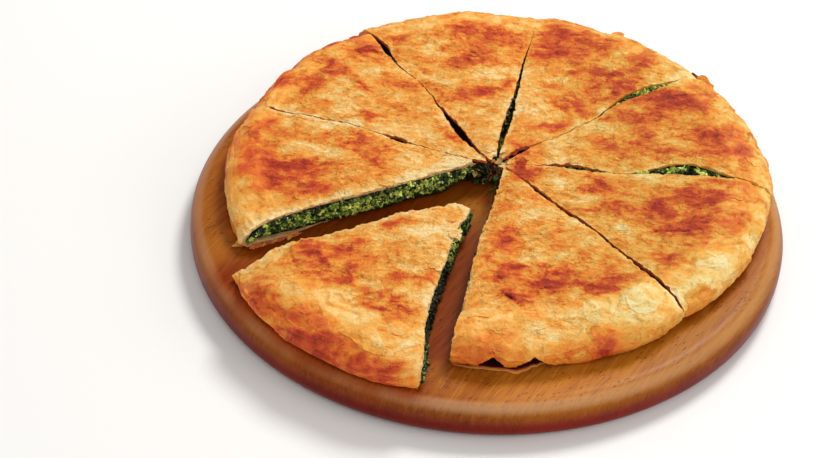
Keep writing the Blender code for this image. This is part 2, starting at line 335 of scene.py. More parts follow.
# ============================================================================
# Browned spots of the crust: (x, y, half length, half width, turn, strength)
# in pie coordinates. Negative strength is a pale place.
# ============================================================================
SPOTS = (
    # slice 1
    (-127, 13, 10, 5, 50, 0.75), (-124, -8, 9, 7, -20, 0.85), (-110, -15, 14, 5, -5, 0.75),
    (-96, -14, 12, 6, 0, 0.85), (-112, -28, 13, 5, 8, 0.6), (-93, -30, 9, 7, 0, 0.55),
    (-78, 5, 9, 6, -15, 0.75), (-60, -12, 7, 10, 20, 0.6), (-86, -9, 9, 3, 10, 0.4),
    (-58, -2, 5, 4, 0, 0.5), (-100, 6, 10, 3, -10, 0.3), (-92, -38, 5, 3, 0, 0.45),
    (-95, 21, 13, 5, -12, -0.5), (-88, -3, 10, 3, -10, -0.5), (-70, -22, 14, 4, 20, -0.4),
    (-40, -5, 16, 5, 10, -0.3), (-134, -12, 3, 16, 0, -0.45), (-118, -50, 8, 12, 10, -0.2),
    # slice 2
    (-76, 87, 13, 7, 5, 0.7), (-93, 71, 11, 6, -25, 0.75), (-104, 55, 9, 9, 30, 0.7),
    (-68, 28, 7.5, 5.5, 0, 1.0), (-57, 62, 13, 4, -10, 0.45), (-74, 53, 5, 4, 0, 0.5),
    (-114, 62, 3.5, 10, -28, 0.6), (-45, 33, 12, 3, -25, 0.25), (-22, 15, 9, 3, -45, 0.6),
    (-64, 72, 10, 5, -10, -0.4), (-86, 42, 14, 4, -12, -0.4), (-50, 44, 12, 5, -25, -0.35),
    (-60, 18, 18, 4, -10, -0.35), (-100, 83, 5, 4, 40, 0.4),
    # slice 3
    (-22, 112, 7, 11, -20, 0.75), (-36, 106, 8, 6, 0, 0.5), (-25, 95, 10, 5, 10, 0.6),
    (-6, 106, 9, 10, 10, 0.55), (-17, 86, 13, 6, 10, 0.6), (-58, 103, 8, 5, 0, 0.5),
    (-14, 53, 13, 5, 25, 0.85), (-24, 46, 6, 3, 20, 0.6), (-24, 79, 9, 3, 0, 0.5),
    (-48, 96, 7, 4, -30, 0.3), (3, 66, 5, 9, 0, 0.5), (-38, 82, 9, 2.5, 20, 0.3),
    (-40, 90, 9, 4, -20, -0.45), (-10, 74, 13, 4, 5, -0.4), (-30, 64, 12, 6, 20, -0.35),
    (-10, 35, 9, 8, 0, -0.15), (-45, 118, 8, 3, 10, -0.3), (8, 90, 4, 8, 0, 0.4),
    (-38, 60, 7, 3, -55, 0.45), (-30, 42, 9, 2.5, -55, 0.4),
    # slice 4
    (28, 117, 10, 8, -10, 0.7), (23, 96, 8, 8, 20, 0.85), (46, 111, 10, 6, -15, 0.65),
    (57, 104, 5, 10, -20, 0.6), (68, 108, 8, 5, -30, 0.6), (79, 92, 7, 9, 10, 0.85),
    (60, 70, 12, 10, 10, 0.8), (71, 76, 7, 8, 0, 0.7), (39, 50, 9, 6, -20, 0.9),
    (28, 29, 11, 4, 30, 0.5), (25, 67, 6, 5, 0, 0.45), (44, 88, 6, 8, 20, 0.45),
    (36, 78, 5, 5, 0, 0.3), (18, 12, 10, 3, 20, 0.7), (45, 39, 8, 3, 35, 0.3),
    (61, 90, 11, 6, 8, -0.6), (34, 84, 8, 6, 0, -0.35), (22, 45, 7, 12, 10, -0.3),
    (92, 84, 5, 5, 0, -0.35), (42, 64, 8, 4, 20, -0.2), (33, 103, 6, 4, 0, -0.2),
    # slice 5
    (88, 60, 12, 7, 15, 0.85), (107, 56, 9, 9, 0, 0.8), (106, 70, 6, 5, 0, 0.6),
    (113, 30, 14, 6, 0, 0.95), (125, 16, 7, 9, 30, 0.9), (101, 13, 17, 2.6, 4, 0.7),
    (76, 42, 9, 6, 10, 0.6), (75, 26, 8, 4, -20, 0.5), (78, 12, 8, 6, -30, 0.6),
    (50, 17, 8, 4, 0, 0.5), (98, 31, 8, 3, 10, 0.45), (13, 3, 5, 2.4, 25, 0.6), (22, 6, 4, 2.2, -10, 0.35),
    (60, 10, 8, 3, 0, 0.35), (128, 30, 3, 8, 10, 0.35), (58, 38, 5, 4, 0, 0.35),
    (96, 43, 12, 4, -5, -0.4), (60, 26, 11, 6, 10, -0.45), (44, 27, 8, 6, 30, -0.3),
    (90, 21, 11, 3, 0, -0.35), (118, 50, 6, 8, 0, -0.25), (35, 12, 8, 4, 10, -0.2),
    # slice 6
    (12, -6, 3.0, 3.4, -10, 0.8), (16, -13, 3.2, 3.6, 20, 0.7), (21, -8, 5, 2.0, 30, 0.45), (48.5, -10.5, 2.2, 5.0, 8, 1.05), (49, -17, 2.2, 3.5, -10, 1.0), (45, -21.5, 4.0, 2.2, 25, 0.85), (46, -24, 9, 2.6, 10, 0.85),
    (112, -25, 15, 6, 8, 0.9), (124, -16, 6, 8, 0, 0.7), (84, -38, 6, 9, 25, 0.95),
    (101, -47, 16, 7, 8, 0.75), (55, -34, 6, 4, 0, 0.5), (58, -39, 17, 2.6, 0, 0.5),
    (88, -72, 8, 5, 0, 0.75), (122, -38, 6, 6, 0, 0.5), (104, -58, 8, 3, 0, 0.45),
    (76, -52, 6, 6, 0, 0.35), (31, -10, 5, 3, 0, 0.3), (108, -12, 16, 3, 0, 0.3),
    (33, -17, 8, 6, -20, -0.45), (74, -14, 10, 8, 0, -0.4), (70, -30, 11, 4, -5, -0.55),
    (60, -50, 10, 6, -30, -0.55), (50, -31, 4, 3, 0, -0.4), (112, -75, 12, 12, 40, -0.28),
    (96, -93, 10, 9, 45, -0.36), (128, -45, 4, 16, -20, -0.38), (88, -30, 8, 3, 0, -0.3),
    # slice 7
    (27, -97, 9, 5, 10, 1.15), (31, -85, 9, 3, 8, 0.75), (14, -89, 14, 4, -12, 0.7),
    (57, -93, 6, 8, -15, 0.85), (45, -96, 6, 4, 0, 0.75), (70, -87, 9, 4, 20, 0.5),
    (14, -107, 7, 4, -20, 0.8), (33, -104, 9, 3, -30, 0.55), (4, -93, 6, 3, 0, 0.5),
    (8, -66, 7, 9, 0, 0.6), (14, -58, 6, 5, 0, 0.5), (31, -50, 10, 7, 30, 0.45),
    (35, -66, 6, 6, 0, 0.3), (38, -76, 8, 4, 20, 0.45), (18, -30, 6, 5, 0, 0.3),
    (9, -41, 6, 6, 0, 0.3), (13, -13, 4, 5, 0, 0.6), (55, -130, 4, 7, 0, 0.75),
    (66, -134, 13, 5, 12, 0.55), (8, -134, 10, 6, 0, 0.5), (60, -76, 8, 6, -30, 0.3),
    (24, -77, 10, 6, 8, -0.7), (20, -47, 6, 8, 20, -0.5), (38, -38, 6, 6, -30, -0.4),
    (50, -66, 8, 5, -45, -0.5), (68, -106, 14, 8, 20, -0.55), (40, -116, 14, 6, 0, -0.35),
    (21, -130, 9, 7, 30, -0.55), (12, -118, 9, 5, 0, -0.3), (-1, -76, 3, 14, 0, 0.3),
    # slice 8
    (-42, -38, 7, 4, 20, 0.6), (-30, -33, 7, 3, 0, 0.35), (-62, -56, 9, 4, 25, 0.9),
    (-75, -67, 12, 6, 0, 0.8), (-82, -57, 8, 6, -40, 0.55), (-63, -71, 6, 4, -20, 0.6),
    (-74, -81, 9, 3.5, 0, 0.8), (-60, -80, 4, 5, 0, 0.85), (-36, -77, 9, 4, -10, 0.7),
    (-48, -90, 8, 5, -20, 0.85), (-33, -97, 9, 4, -15, 0.85), (-45, -98, 6, 4, -30, 0.75),
    (-22, -72, 5, 7, 0, 0.45), (-42, -62, 14, 3, -10, 0.35), (-32, -108, 9, 5, 0, 0.45),
    (-97, -72, 7, 5, 20, 0.35), (-78, -108, 12, 7, -42, 0.7), (-60, -124, 14, 8, -32, 0.75),
    (-100, -88, 6, 11, 30, 0.55), (-40, -134, 14, 7, -15, 0.6), (-92, -98, 8, 4, -45, 0.3),
    (-50, -57, 8, 5, 0, -0.55), (-28, -62, 8, 5, 0, -0.45), (-72, -96, 18, 5, -35, -0.35),
    (-52, -107, 14, 5, -25, -0.45), (-30, -124, 10, 6, -10, -0.4), (-22, -42, 8, 6, 0, -0.3),
    (-90, -78, 8, 5, -30, -0.15), (-60, -68, 5, 2, 0, -0.4), (-30, -88, 8, 3, 0, -0.3),
)


# Broad places that are a little browner, or paler with a minus, in the same form.
ZONES = (
    # slice 1
    (-120, -20, 13, 16, 0, 0.14), (-124, -4, 12, 22, 0, 0.22), (-103, -25, 24, 12, 0, 0.18), (-78, 8, 10, 8, 0, 0.08),
    (-121, -19, 10, 14, 0, 0.42), (-96, -2, 12, 6, 0, -0.10),
    (-98, 14, 20, 6, 0, -0.04), (-60, -5, 10, 12, 0, 0.04), (-95, -2, 20, 6, 0, -0.10),
    (-118, -45, 20, 12, 0, -0.04), (-133, -30, 5, 25, 0, -0.22), (-85, -45, 25, 6, 20, -0.12),
    (-40, -12, 25, 8, 15, -0.14), (-118, 20, 10, 6, 0, -0.12),
    # slice 2
    (-75, 88, 14, 8, 5, 0.12), (-100, 60, 16, 16, 0, 0.10), (-112, 75, 8, 8, 0, -0.08),
    (-75, 68, 10, 8, 0, -0.14), (-88, 55, 8, 12, 30, -0.08), (-50, 60, 18, 5, 0, 0.12),
    (-40, 25, 16, 12, 0, -0.12), (-70, 20, 18, 5, 0, -0.12), (-115, 40, 10, 8, 0, 0.05),
    (-88, 35, 16, 6, 0, -0.10), (-60, 45, 14, 6, 0, -0.06),
    # slice 3
    (-15, 105, 26, 18, 0, 0.07), (-25, 83, 20, 10, 0, 0.09), (-10, 55, 16, 6, 15, 0.12),
    (-30, 100, 30, 20, 0, -0.05),
    (-45, 112, 12, 8, 20, -0.10), (-35, 95, 8, 8, 0, -0.06), (-5, 75, 15, 6, 0, -0.12),
    (-35, 70, 8, 10, 0, -0.10), (-12, 25, 10, 15, 0, -0.05), (-50, 85, 8, 8, 0, -0.08),
    # slice 4
    (30, 112, 32, 14, -8, 0.20), (28, 93, 14, 10, 0, 0.12), (57, 93, 14, 8, 8, -0.12),
    (78, 92, 9, 12, 0, 0.18), (60, 68, 14, 12, 0, 0.16), (38, 49, 10, 8, 0, 0.15),
    (20, 45, 10, 20, 0, -0.06), (90, 88, 10, 8, 30, -0.20), (28, 30, 14, 8, 30, 0.06),
    (10, 20, 6, 10, 0, 0.06), (52, 108, 20, 8, 0, 0.10), (48, 94, 28, 18, 0, 0.20), (100, 87, 9, 6, 40, -0.30),
    # slice 5
    (95, 58, 22, 12, 0, 0.26), (113, 26, 16, 12, 0, 0.24), (126, 15, 8, 14, 0, 0.22),
    (100, 12, 22, 4, 0, 0.15), (72, 42, 12, 10, 0, 0.12), (50, 30, 14, 8, 10, -0.14),
    (118, 50, 8, 8, 0, -0.14), (60, 15, 15, 8, 0, 0.04), (134, 8, 6, 20, 0, -0.22),
    (28, 12, 12, 8, 20, -0.04), (90, 34, 12, 5, 0, -0.04), (12, 7, 7, 3.2, 25, 0.26), (19, 1, 3.5, 6, -15, 0.24),
    (136, 20, 5, 9, 0, -0.14), (80, 40, 34, 22, 20, 0.09),
    # slice 6
    (105, -25, 20, 10, 0, 0.26), (83, -38, 9, 12, 0, 0.20), (102, -47, 20, 10, 0, 0.20),
    (53, -15, 3.6, 7, 10, 0.26), (46, -21, 7, 3, 0, 0.18), (14, -9, 4.5, 6.5, 30, 0.26), (72, -15, 14, 8, 0, -0.10), (70, -30, 34, 24, 0, 0.09),
    (40, -25, 14, 10, -30, -0.12), (60, -50, 12, 8, -30, -0.12), (88, -72, 10, 8, 0, 0.06),
    (127, -30, 8, 20, 0, -0.08), (110, -78, 18, 12, 45, -0.19), (125, -55, 8, 18, -15, -0.20),
    (98, -95, 12, 10, 40, -0.14), (30, -20, 10, 8, -30, -0.12),
    # slice 7
    (28, -50, 22, 10, -30, -0.12), (12, -40, 12, 10, 0, -0.08), (8, -66, 8, 10, 0, 0.10),
    (22, -95, 14, 10, 0, 0.18), (35, -82, 12, 6, 20, 0.05), (58, -90, 14, 10, 0, 0.10),
    (25, -77, 12, 6, 0, -0.16), (65, -108, 22, 12, 20, -0.18), (40, -120, 18, 10, 10, -0.12),
    (57, -130, 8, 8, 0, 0.14), (45, -62, 10, 10, -45, -0.06),
    # slice 8
    (-68, -68, 22, 16, 0, 0.10), (-42, -88, 16, 12, 0, 0.10), (-28, -60, 12, 12, 0, -0.12),
    (-50, -50, 14, 6, 20, -0.06), (-50, -112, 24, 10, -30, -0.12), (-85, -75, 10, 12, 0, -0.04),
    (-62, -128, 30, 12, -35, 0.20), (-98, -98, 10, 14, 40, 0.20), (-20, -40, 14, 10, 0, -0.08),
    (-48, -74, 30, 22, -20, -0.10),
    (-25, -120, 8, 14, 0, -0.10),
)


# Thin creases of the crust: from x, y to x, y, depth, half width, step on the left side
CREASES = (
    (4.6, -101.5, 16.5, -113.5, 0.8, 0.7, 0.6), (77, -50.5, 103, -50.0, 0.5, 0.6, 0.3),
    (94, -94, 104, -85, 0.9, 0.7, 0.9), (-139, -4, -136, -24, 0.8, 0.8, 0.4),
    (-108, -84, -90, -94, 0.5, 0.8, 0.5), (-70, -98, -52, -104, 0.6, 0.7, 0.5),
    (-90, -60, -84, -76, 0.5, 0.7, 0.4), (-118, 28, -86, 19, 0.4, 0.7, 0.5),
    (62, 46, 66, 36, 0.4, 0.6, 0.3), (118, 40, 134, 34, 0.4, 0.6, 0.3),
    (44, -106, 52, -116, 0.5, 0.6, 0.5), (62, -112, 78, -104, 0.5, 0.7, 0.5),
    (-20, 96, -8, 82, 0.4, 0.6, 0.3), (30, 60, 44, 58, 0.4, 0.6, 0.3),
    (-80, 60, -68, 50, 0.4, 0.6, 0.3), (20, -60, 40, -56, 0.4, 0.6, 0.3),
    (-46, -112, -30, -118, 0.5, 0.7, 0.4), (110, -60, 124, -52, 0.5, 0.7, 0.4),
)


def creases(x, y):
    """Depth to take away, and how dark the crease's line is."""
    wx = x + 1.0 * noise(x / 5, y / 5, 1.1, 151)
    wy = y + 1.0 * noise(x / 5, y / 5, 6.3, 153)
    h = np.zeros(x.shape, np.float32)
    line = np.zeros(x.shape, np.float32)
    for x0, y0, x1, y1, depth, width, step in CREASES:
        length = math.hypot(x1 - x0, y1 - y0)
        ux, uy = (x1 - x0) / length, (y1 - y0) / length
        along = (wx - x0) * ux + (wy - y0) * uy
        beside = -(wx - x0) * uy + (wy - y0) * ux
        ends = smooth(-1, 3, along) * (1 - smooth(length - 3, length + 1, along))
        cut = np.exp(-((beside / width) ** 2)) * ends
        h += depth * cut - step * ends * np.exp(-np.maximum(beside, 0) / 5.0) * (beside > 0)
        line = np.maximum(line, cut * min(1.0, depth * 1.4))
    return h, line


def zones(x, y):
    out = np.zeros(x.shape, np.float32)
    wx = x + 4.0 * noise(x / 15, y / 15, 2.1, 141)
    wy = y + 4.0 * noise(x / 15, y / 15, 4.3, 143)
    for cx, cy, a, b, turn, amount in ZONES:
        reach = 2.2 * max(a, b)
        near = (np.abs(wx - cx) < reach) & (np.abs(wy - cy) < reach)
        if not near.any():
            continue
        dx, dy = wx[near] - cx, wy[near] - cy
        c, s = math.cos(math.radians(turn)), math.sin(math.radians(turn))
        q = ((dx * c + dy * s) / a) ** 2 + ((-dx * s + dy * c) / b) ** 2
        out[near] += amount * np.exp(-(q**1.3) * 0.9)
    return out


def browning(x, y):
    """Sum of the browned and pale places, with soft warped outlines."""
    wx = x + 4.4 * noise(x / 13, y / 13, 3.1, 41) + 2.2 * noise(x / 4.6, y / 3.8, 7.7, 42)
    wy = y + 4.0 * noise(x / 13, y / 13, 5.3, 43) + 2.0 * noise(x / 5.2, y / 3.4, 9.1, 44)
    brown = np.zeros(x.shape, np.float32)
    pale = np.zeros(x.shape, np.float32)
    for cx, cy, a, b, turn, strength in SPOTS:
        near = (np.abs(wx - cx) < 2.4 * max(a, b)) & (np.abs(wy - cy) < 2.4 * max(a, b))
        if not near.any():
            continue
        dx, dy = wx[near] - cx, wy[near] - cy
        c, s = math.cos(math.radians(turn)), math.sin(math.radians(turn))
        q = ((dx * c + dy * s) / a) ** 2 + ((-dx * s + dy * c) / b) ** 2
        spot = np.exp(-(q**1.15) * 0.9) + 0.22 * np.exp(-q * 0.28)
        if strength > 0:
            brown[near] = np.maximum(brown[near], strength * spot) + 0.25 * np.minimum(
                brown[near], strength * spot
            )
        else:
            pale[near] = np.maximum(pale[near], -strength * spot)
    brown *= 0.80 * (0.94 + 0.60 * layered(x / 4.6, y / 2.6, 6.6, 45, 3))
    return brown, pale


# ============================================================================
# Mesh helpers
# ============================================================================
def strip(a, b):
    """Triangles between two rows of vertex numbers of one length."""
    return np.concatenate(
        [np.stack([a[:-1], b[:-1], b[1:]], -1), np.stack([a[:-1], b[1:], a[1:]], -1)]
    )


def stitch(a, b):
    """Triangles between two rows of unlike lengths."""
    i = j = 0
    n, m = len(a) - 1, len(b) - 1
    out = []
    while i < n or j < m:
        if j == m or (i < n and (i + 1) / n <= (j + 1) / m):
            out.append((a[i], b[j], a[i + 1]))
            i += 1
        else:
            out.append((a[i], b[j], b[j + 1]))
            j += 1
    return np.array(out)


def joined_rows(a, b):
    return strip(a, b) if len(a) == len(b) else stitch(a, b)


class Builder:
    """Collects points with their values, and triangles."""

    def __init__(self):
        self.points, self.values, self.faces, self.count = [], {}, [], 0

    def add(self, points, **values):
        points = np.asarray(points, np.float64).reshape(-1, 3)
        first = self.count
        self.points.append(points)
        for k, v in values.items():
            v = np.asarray(v, np.float32)
            if v.ndim == 0:
                v = np.full(len(points), v, np.float32)
            self.values.setdefault(k, []).append(v)
        self.count += len(points)
        return np.arange(first, self.count)

    def tri(self, faces, flip=False):
        faces = np.asarray(faces, np.int64).reshape(-1, 3)
        self.faces.append(faces[:, ::-1] if flip else faces)

    def arrays(self):
        points = np.concatenate(self.points)
        faces = np.concatenate(self.faces)
        bad = (
            (faces[:, 0] == faces[:, 1]) | (faces[:, 1] == faces[:, 2]) | (faces[:, 0] == faces[:, 2])
        )
        values = {k: np.concatenate(v) for k, v in self.values.items()}
        return points, faces[~bad], values


def make_object(name, points, faces, values, finish, sharp=None):
    """A mesh object from points in mm over the row's frame, with its values as attributes."""
    mesh = bpy.data.meshes.new(name)
    mesh.from_pydata((points * MM).tolist(), [], faces.tolist())
    mesh.update()
    for key, v in values.items():
        if v.ndim == 1:
            layer = mesh.attributes.new(key, "FLOAT", "POINT")
            layer.data.foreach_set("value", v.astype(np.float32))
        else:
            rgba = np.concatenate([v, np.ones((len(v), 1), np.float32)], 1).astype(np.float32)
            layer = mesh.attributes.new(key, "FLOAT_COLOR", "POINT")
            layer.data.foreach_set("color", rgba.ravel())
    mesh.shade_smooth()
    if sharp:
        mesh.set_sharp_from_angle(angle=math.radians(sharp))
    mesh.materials.append(finish)
    obj = bpy.data.objects.new(name, mesh)
    bpy.context.scene.collection.objects.link(obj)
    return obj


# ============================================================================
# Materials
# ============================================================================
class Nodes:
    def __init__(self, name):
        self.material = bpy.data.materials.new(name)
        self.material.use_nodes = True
        self.tree = self.material.node_tree
        self.shader = self.tree.nodes["Principled BSDF"]

    def new(self, kind, **settings):
        node = self.tree.nodes.new(kind)
        for k, v in settings.items():
            setattr(node, k, v)
        return node

    def link(self, a, b):
        self.tree.links.new(a, b)

    def value(self, name):
        return self.new("ShaderNodeAttribute", attribute_name=name).outputs["Fac"]

    def coordinates(self, stretch=(1, 1, 1), turn=0.0):
        """Coordinates drawn out along axes that are turned about the upright one, in degrees."""
        source = self.new("ShaderNodeTexCoord").outputs["Object"]
        mapping = self.new("ShaderNodeMapping", vector_type="TEXTURE")
        mapping.inputs["Scale"].default_value = stretch
        mapping.inputs["Rotation"].default_value = (0, 0, math.radians(turn))
        self.link(source, mapping.inputs["Vector"])
        return mapping.outputs["Vector"]

    def noise(self, vector, scale, detail=3.0, rough=0.55, distortion=0.0):
        node = self.new("ShaderNodeTexNoise")
        node.inputs["Scale"].default_value = scale
        node.inputs["Detail"].default_value = detail
        node.inputs["Roughness"].default_value = rough
        node.inputs["Distortion"].default_value = distortion
        self.link(vector, node.inputs["Vector"])
        return node.outputs["Fac"]

    def math(self, operation, a, b=None, clamp=False):
        node = self.new("ShaderNodeMath", operation=operation, use_clamp=clamp)
        for socket, v in zip(node.inputs, (a, b)):
            if v is None:
                continue
            if isinstance(v, (int, float)):
                socket.default_value = v
            else:
                self.link(v, socket)
        return node.outputs[0]

    def spread(self, v, lo, hi, to_lo=0.0, to_hi=1.0, smooth_step=True):
        node = self.new(
            "ShaderNodeMapRange", interpolation_type="SMOOTHSTEP" if smooth_step else "LINEAR"
        )
        self.link(v, node.inputs["Value"])
        node.inputs["From Min"].default_value = lo
        node.inputs["From Max"].default_value = hi
        node.inputs["To Min"].default_value = to_lo
        node.inputs["To Max"].default_value = to_hi
        return node.outputs["Result"]

    def mix(self, factor, a, b, blend="MIX"):
        node = self.new("ShaderNodeMix", data_type="RGBA", blend_type=blend)
        for socket, v in ((node.inputs[0], factor), (node.inputs[6], a), (node.inputs[7], b)):
            if isinstance(v, (int, float)):
                socket.default_value = v
            elif isinstance(v, tuple):
                socket.default_value = (*v, 1.0)
            else:
                self.link(v, socket)
        return node.outputs[2]

    def ramp(self, v, stops):
        node = self.new("ShaderNodeValToRGB")
        node.color_ramp.interpolation = "EASE"
        elements = node.color_ramp.elements
        while len(elements) > 1:
            elements.remove(elements[-1])
        elements[0].position, elements[0].color = stops[0][0], (*stops[0][1], 1.0)
        for at, colour in stops[1:]:
            e = elements.new(at)
            e.color = (*colour, 1.0)
        self.link(v, node.inputs["Fac"])
        return node.outputs["Color"]

    def bump(self, height, strength, distance, normal=None):
        node = self.new("ShaderNodeBump")
        node.inputs["Strength"].default_value = strength
        node.inputs["Distance"].default_value = distance
        self.link(height, node.inputs["Height"])
        if normal is not None:
            self.link(normal, node.inputs["Normal"])
        return node.outputs["Normal"]


def pastry_material():
    n = Nodes("baked_pastry_look")
    bake, leaf, dough = n.value("bake"), n.value("leaf"), n.value("dough")
    # the outer rim is smoother than the top
    calm = n.value("calm")
    quiet = n.spread(calm, 0.0, 1.0, 1.0, 0.36, False)
    # fibres run across the picture, with a second set that crosses them
    along = n.coordinates((2.2, 1.0, 1.0), -6)
    cross = n.coordinates((1.6, 1.0, 1.0), 25)
    even = n.coordinates()
    fibre = n.noise(along, 640, 4.0, 0.66, 0.8)
    patch = n.noise(cross, 230, 3.0, 0.55, 0.8)
    grain = n.noise(even, 1300, 2.0, 0.6)
    # dark threads are browner, light ones paler
    fine = n.math("MULTIPLY", n.math("SUBTRACT", patch, 0.5), 0.34)
    fine = n.math("SUBTRACT", fine, n.math("MULTIPLY", n.math("SUBTRACT", fibre, 0.5), 0.34))
    fine = n.math("SUBTRACT", fine, n.math("MULTIPLY", n.math("SUBTRACT", grain, 0.5), 0.16))
    tone = n.math("ADD", bake, n.math("MULTIPLY", fine, quiet))
    # leaves of pastry end in crisp edges: each leaf has its own tone
    wobble = n.math("MULTIPLY", n.math("SUBTRACT", n.noise(even, 420, 3.0, 0.6), 0.5), 0.34)
    edge = n.math("ADD", leaf, wobble)
    step_a = n.spread(edge, 0.16, 0.185)
    step_b = n.spread(edge, -0.22, -0.195)
    tone = n.math("ADD", tone, n.math("MULTIPLY", n.math("SUBTRACT", step_a, 0.3), 0.10))
    tone = n.math("SUBTRACT", tone, n.math("MULTIPLY", n.math("SUBTRACT", step_b, 0.7), 0.09))
    # small torn leaves all over
    tears = n.new("ShaderNodeVectorMath", operation="ADD")
    push = n.new("ShaderNodeTexNoise")
    push.inputs["Scale"].default_value = 150
    push.inputs["Detail"].default_value = 4.0
    push.inputs["Roughness"].default_value = 0.62
    n.link(even, push.inputs["Vector"])
    spread = n.new("ShaderNodeVectorMath", operation="SCALE")
    spread.inputs["Scale"].default_value = 0.012
    n.link(push.outputs["Color"], spread.inputs[0])
    n.link(along, tears.inputs[0])
    n.link(spread.outputs[0], tears.inputs[1])
    leaves = []
    for scale in (105, 235):
        cells = n.new("ShaderNodeTexVoronoi", feature="F1", distance="EUCLIDEAN")
        cells.inputs["Scale"].default_value = scale
        n.link(tears.outputs[0], cells.inputs["Vector"])
        split = n.new("ShaderNodeSeparateColor")
        n.link(cells.outputs["Color"], split.inputs[0])
        leaves.append(split.outputs[0])
    tone = n.math("ADD", tone, n.math("MULTIPLY", n.math("SUBTRACT", leaves[0], 0.5), 0.12))
    small = n.math("MULTIPLY", n.math("SUBTRACT", leaves[1], 0.5), 0.09)
    tone = n.math("ADD", tone, n.math("MULTIPLY", small, quiet))
    # thin broken creases, browner than their surroundings and painted darker, as shade in the crease
    crease_noise = n.noise(cross, 120, 2.5, 0.5, 1.1)
    line = n.spread(n.math("ABSOLUTE", n.math("SUBTRACT", crease_noise, 0.5)), 0.016, 0.002)
    broken = n.spread(n.noise(even, 170, 1.0, 0.5, 0.0), 0.50, 0.60)
    line = n.math("MULTIPLY", n.math("MULTIPLY", line, broken), quiet)
    tone = n.math("ADD", tone, n.math("MULTIPLY", line, 0.20))
    colour = n.ramp(
        n.math("MULTIPLY", tone, 0.75),
        (
            (0.00, srgb(255, 222, 158)),
            (0.105, srgb(253, 202, 120)),
            (0.24, srgb(248, 174, 74)),
            (0.375, srgb(241, 145, 46)),
            (0.495, srgb(229, 112, 34)),
            (0.615, srgb(211, 80, 26)),
            (0.75, srgb(182, 52, 20)),
            # the near-black last stop serves as painted shade, in the torn openings at the foot and under it
            (1.00, srgb(56, 14, 6)),
        ),
    )
    raw = n.mix(
        n.noise(along, 700, 3.0, 0.6), srgb(240, 204, 142), srgb(216, 156, 88)
    )
    colour = n.mix(dough, colour, raw)
    shade = n.math("ADD", n.spread(fibre, 0.28, 0.72, 0.88, 1.12, False), n.spread(grain, 0.3, 0.7, -0.10, 0.10, False))
    shade = n.math("ADD", n.math("MULTIPLY", n.math("SUBTRACT", shade, 1.0), quiet), 1.0)
    # painted shade along the creases
    shade = n.math("SUBTRACT", shade, n.math("MULTIPLY", line, 0.12))
    grey = n.new("ShaderNodeCombineColor")
    for i in range(3):
        n.link(shade, grey.inputs[i])
    colour = n.mix(1.0, colour, grey.outputs[0], "MULTIPLY")
    # the pie's right side is a little browner
    place_at = n.new("ShaderNodeSeparateXYZ")
    n.link(even, place_at.inputs[0])
    right_side = n.spread(place_at.outputs[0], 0.012, 0.075)
    colour = n.mix(right_side, colour, n.mix(1.0, colour, (0.90, 0.985, 0.97), "MULTIPLY"))
    n.link(colour, n.shader.inputs["Base Color"])
    rough = n.spread(patch, 0.3, 0.7, 0.42, 0.60)
    n.link(rough, n.shader.inputs["Roughness"])
    n.shader.inputs["Specular IOR Level"].default_value = 0.28
    n.shader.inputs["Subsurface Weight"].default_value = 0.10
    n.shader.inputs["Subsurface Radius"].default_value = (1.0, 0.45, 0.16)
    n.shader.inputs["Subsurface Scale"].default_value = 0.0016
    height = n.math("ADD", fibre, n.math("MULTIPLY", grain, 0.42))
    height = n.math("SUBTRACT", height, n.math("MULTIPLY", line, 0.16))
    height = n.math("MULTIPLY", height, quiet)
    normal = n.bump(height, 1.0, 0.0013)
    steps = n.math("ADD", step_a, step_b)
    steps = n.math("ADD", steps, n.math("MULTIPLY", leaves[0], 1.5))
    steps = n.math("ADD", steps, n.math("MULTIPLY", leaves[1], 0.8))
    normal = n.bump(steps, 0.6, 0.0005, normal)
    n.link(normal, n.shader.inputs["Normal"])
    return n.material


def filling_material():
    n = Nodes("spinach_filling_look")
    tint = n.new("ShaderNodeAttribute", attribute_name="tint").outputs["Color"]
    even = n.coordinates()
    fine = n.noise(even, 1500, 3.0, 0.6)
    broad = n.noise(even, 320, 2.0, 0.5)
    shade = n.spread(fine, 0.3, 0.7, 0.72, 1.22, False)
    colour = n.mix(1.0, tint, n.mix(0.0, (1, 1, 1), (1, 1, 1)), "MULTIPLY")
    grey = n.new("ShaderNodeCombineColor")
    for i in range(3):
        n.link(shade, grey.inputs[i])
    colour = n.mix(1.0, tint, grey.outputs[0], "MULTIPLY")
    n.link(colour, n.shader.inputs["Base Color"])
    n.link(n.spread(broad, 0.3, 0.7, 0.28, 0.5), n.shader.inputs["Roughness"])
    n.shader.inputs["Specular IOR Level"].default_value = 0.34
    n.shader.inputs["Subsurface Weight"].default_value = 0.08
    n.shader.inputs["Subsurface Radius"].default_value = (0.6, 0.9, 0.3)
    n.shader.inputs["Subsurface Scale"].default_value = 0.001
    n.link(n.bump(fine, 0.4, 0.0004), n.shader.inputs["Normal"])
    return n.material


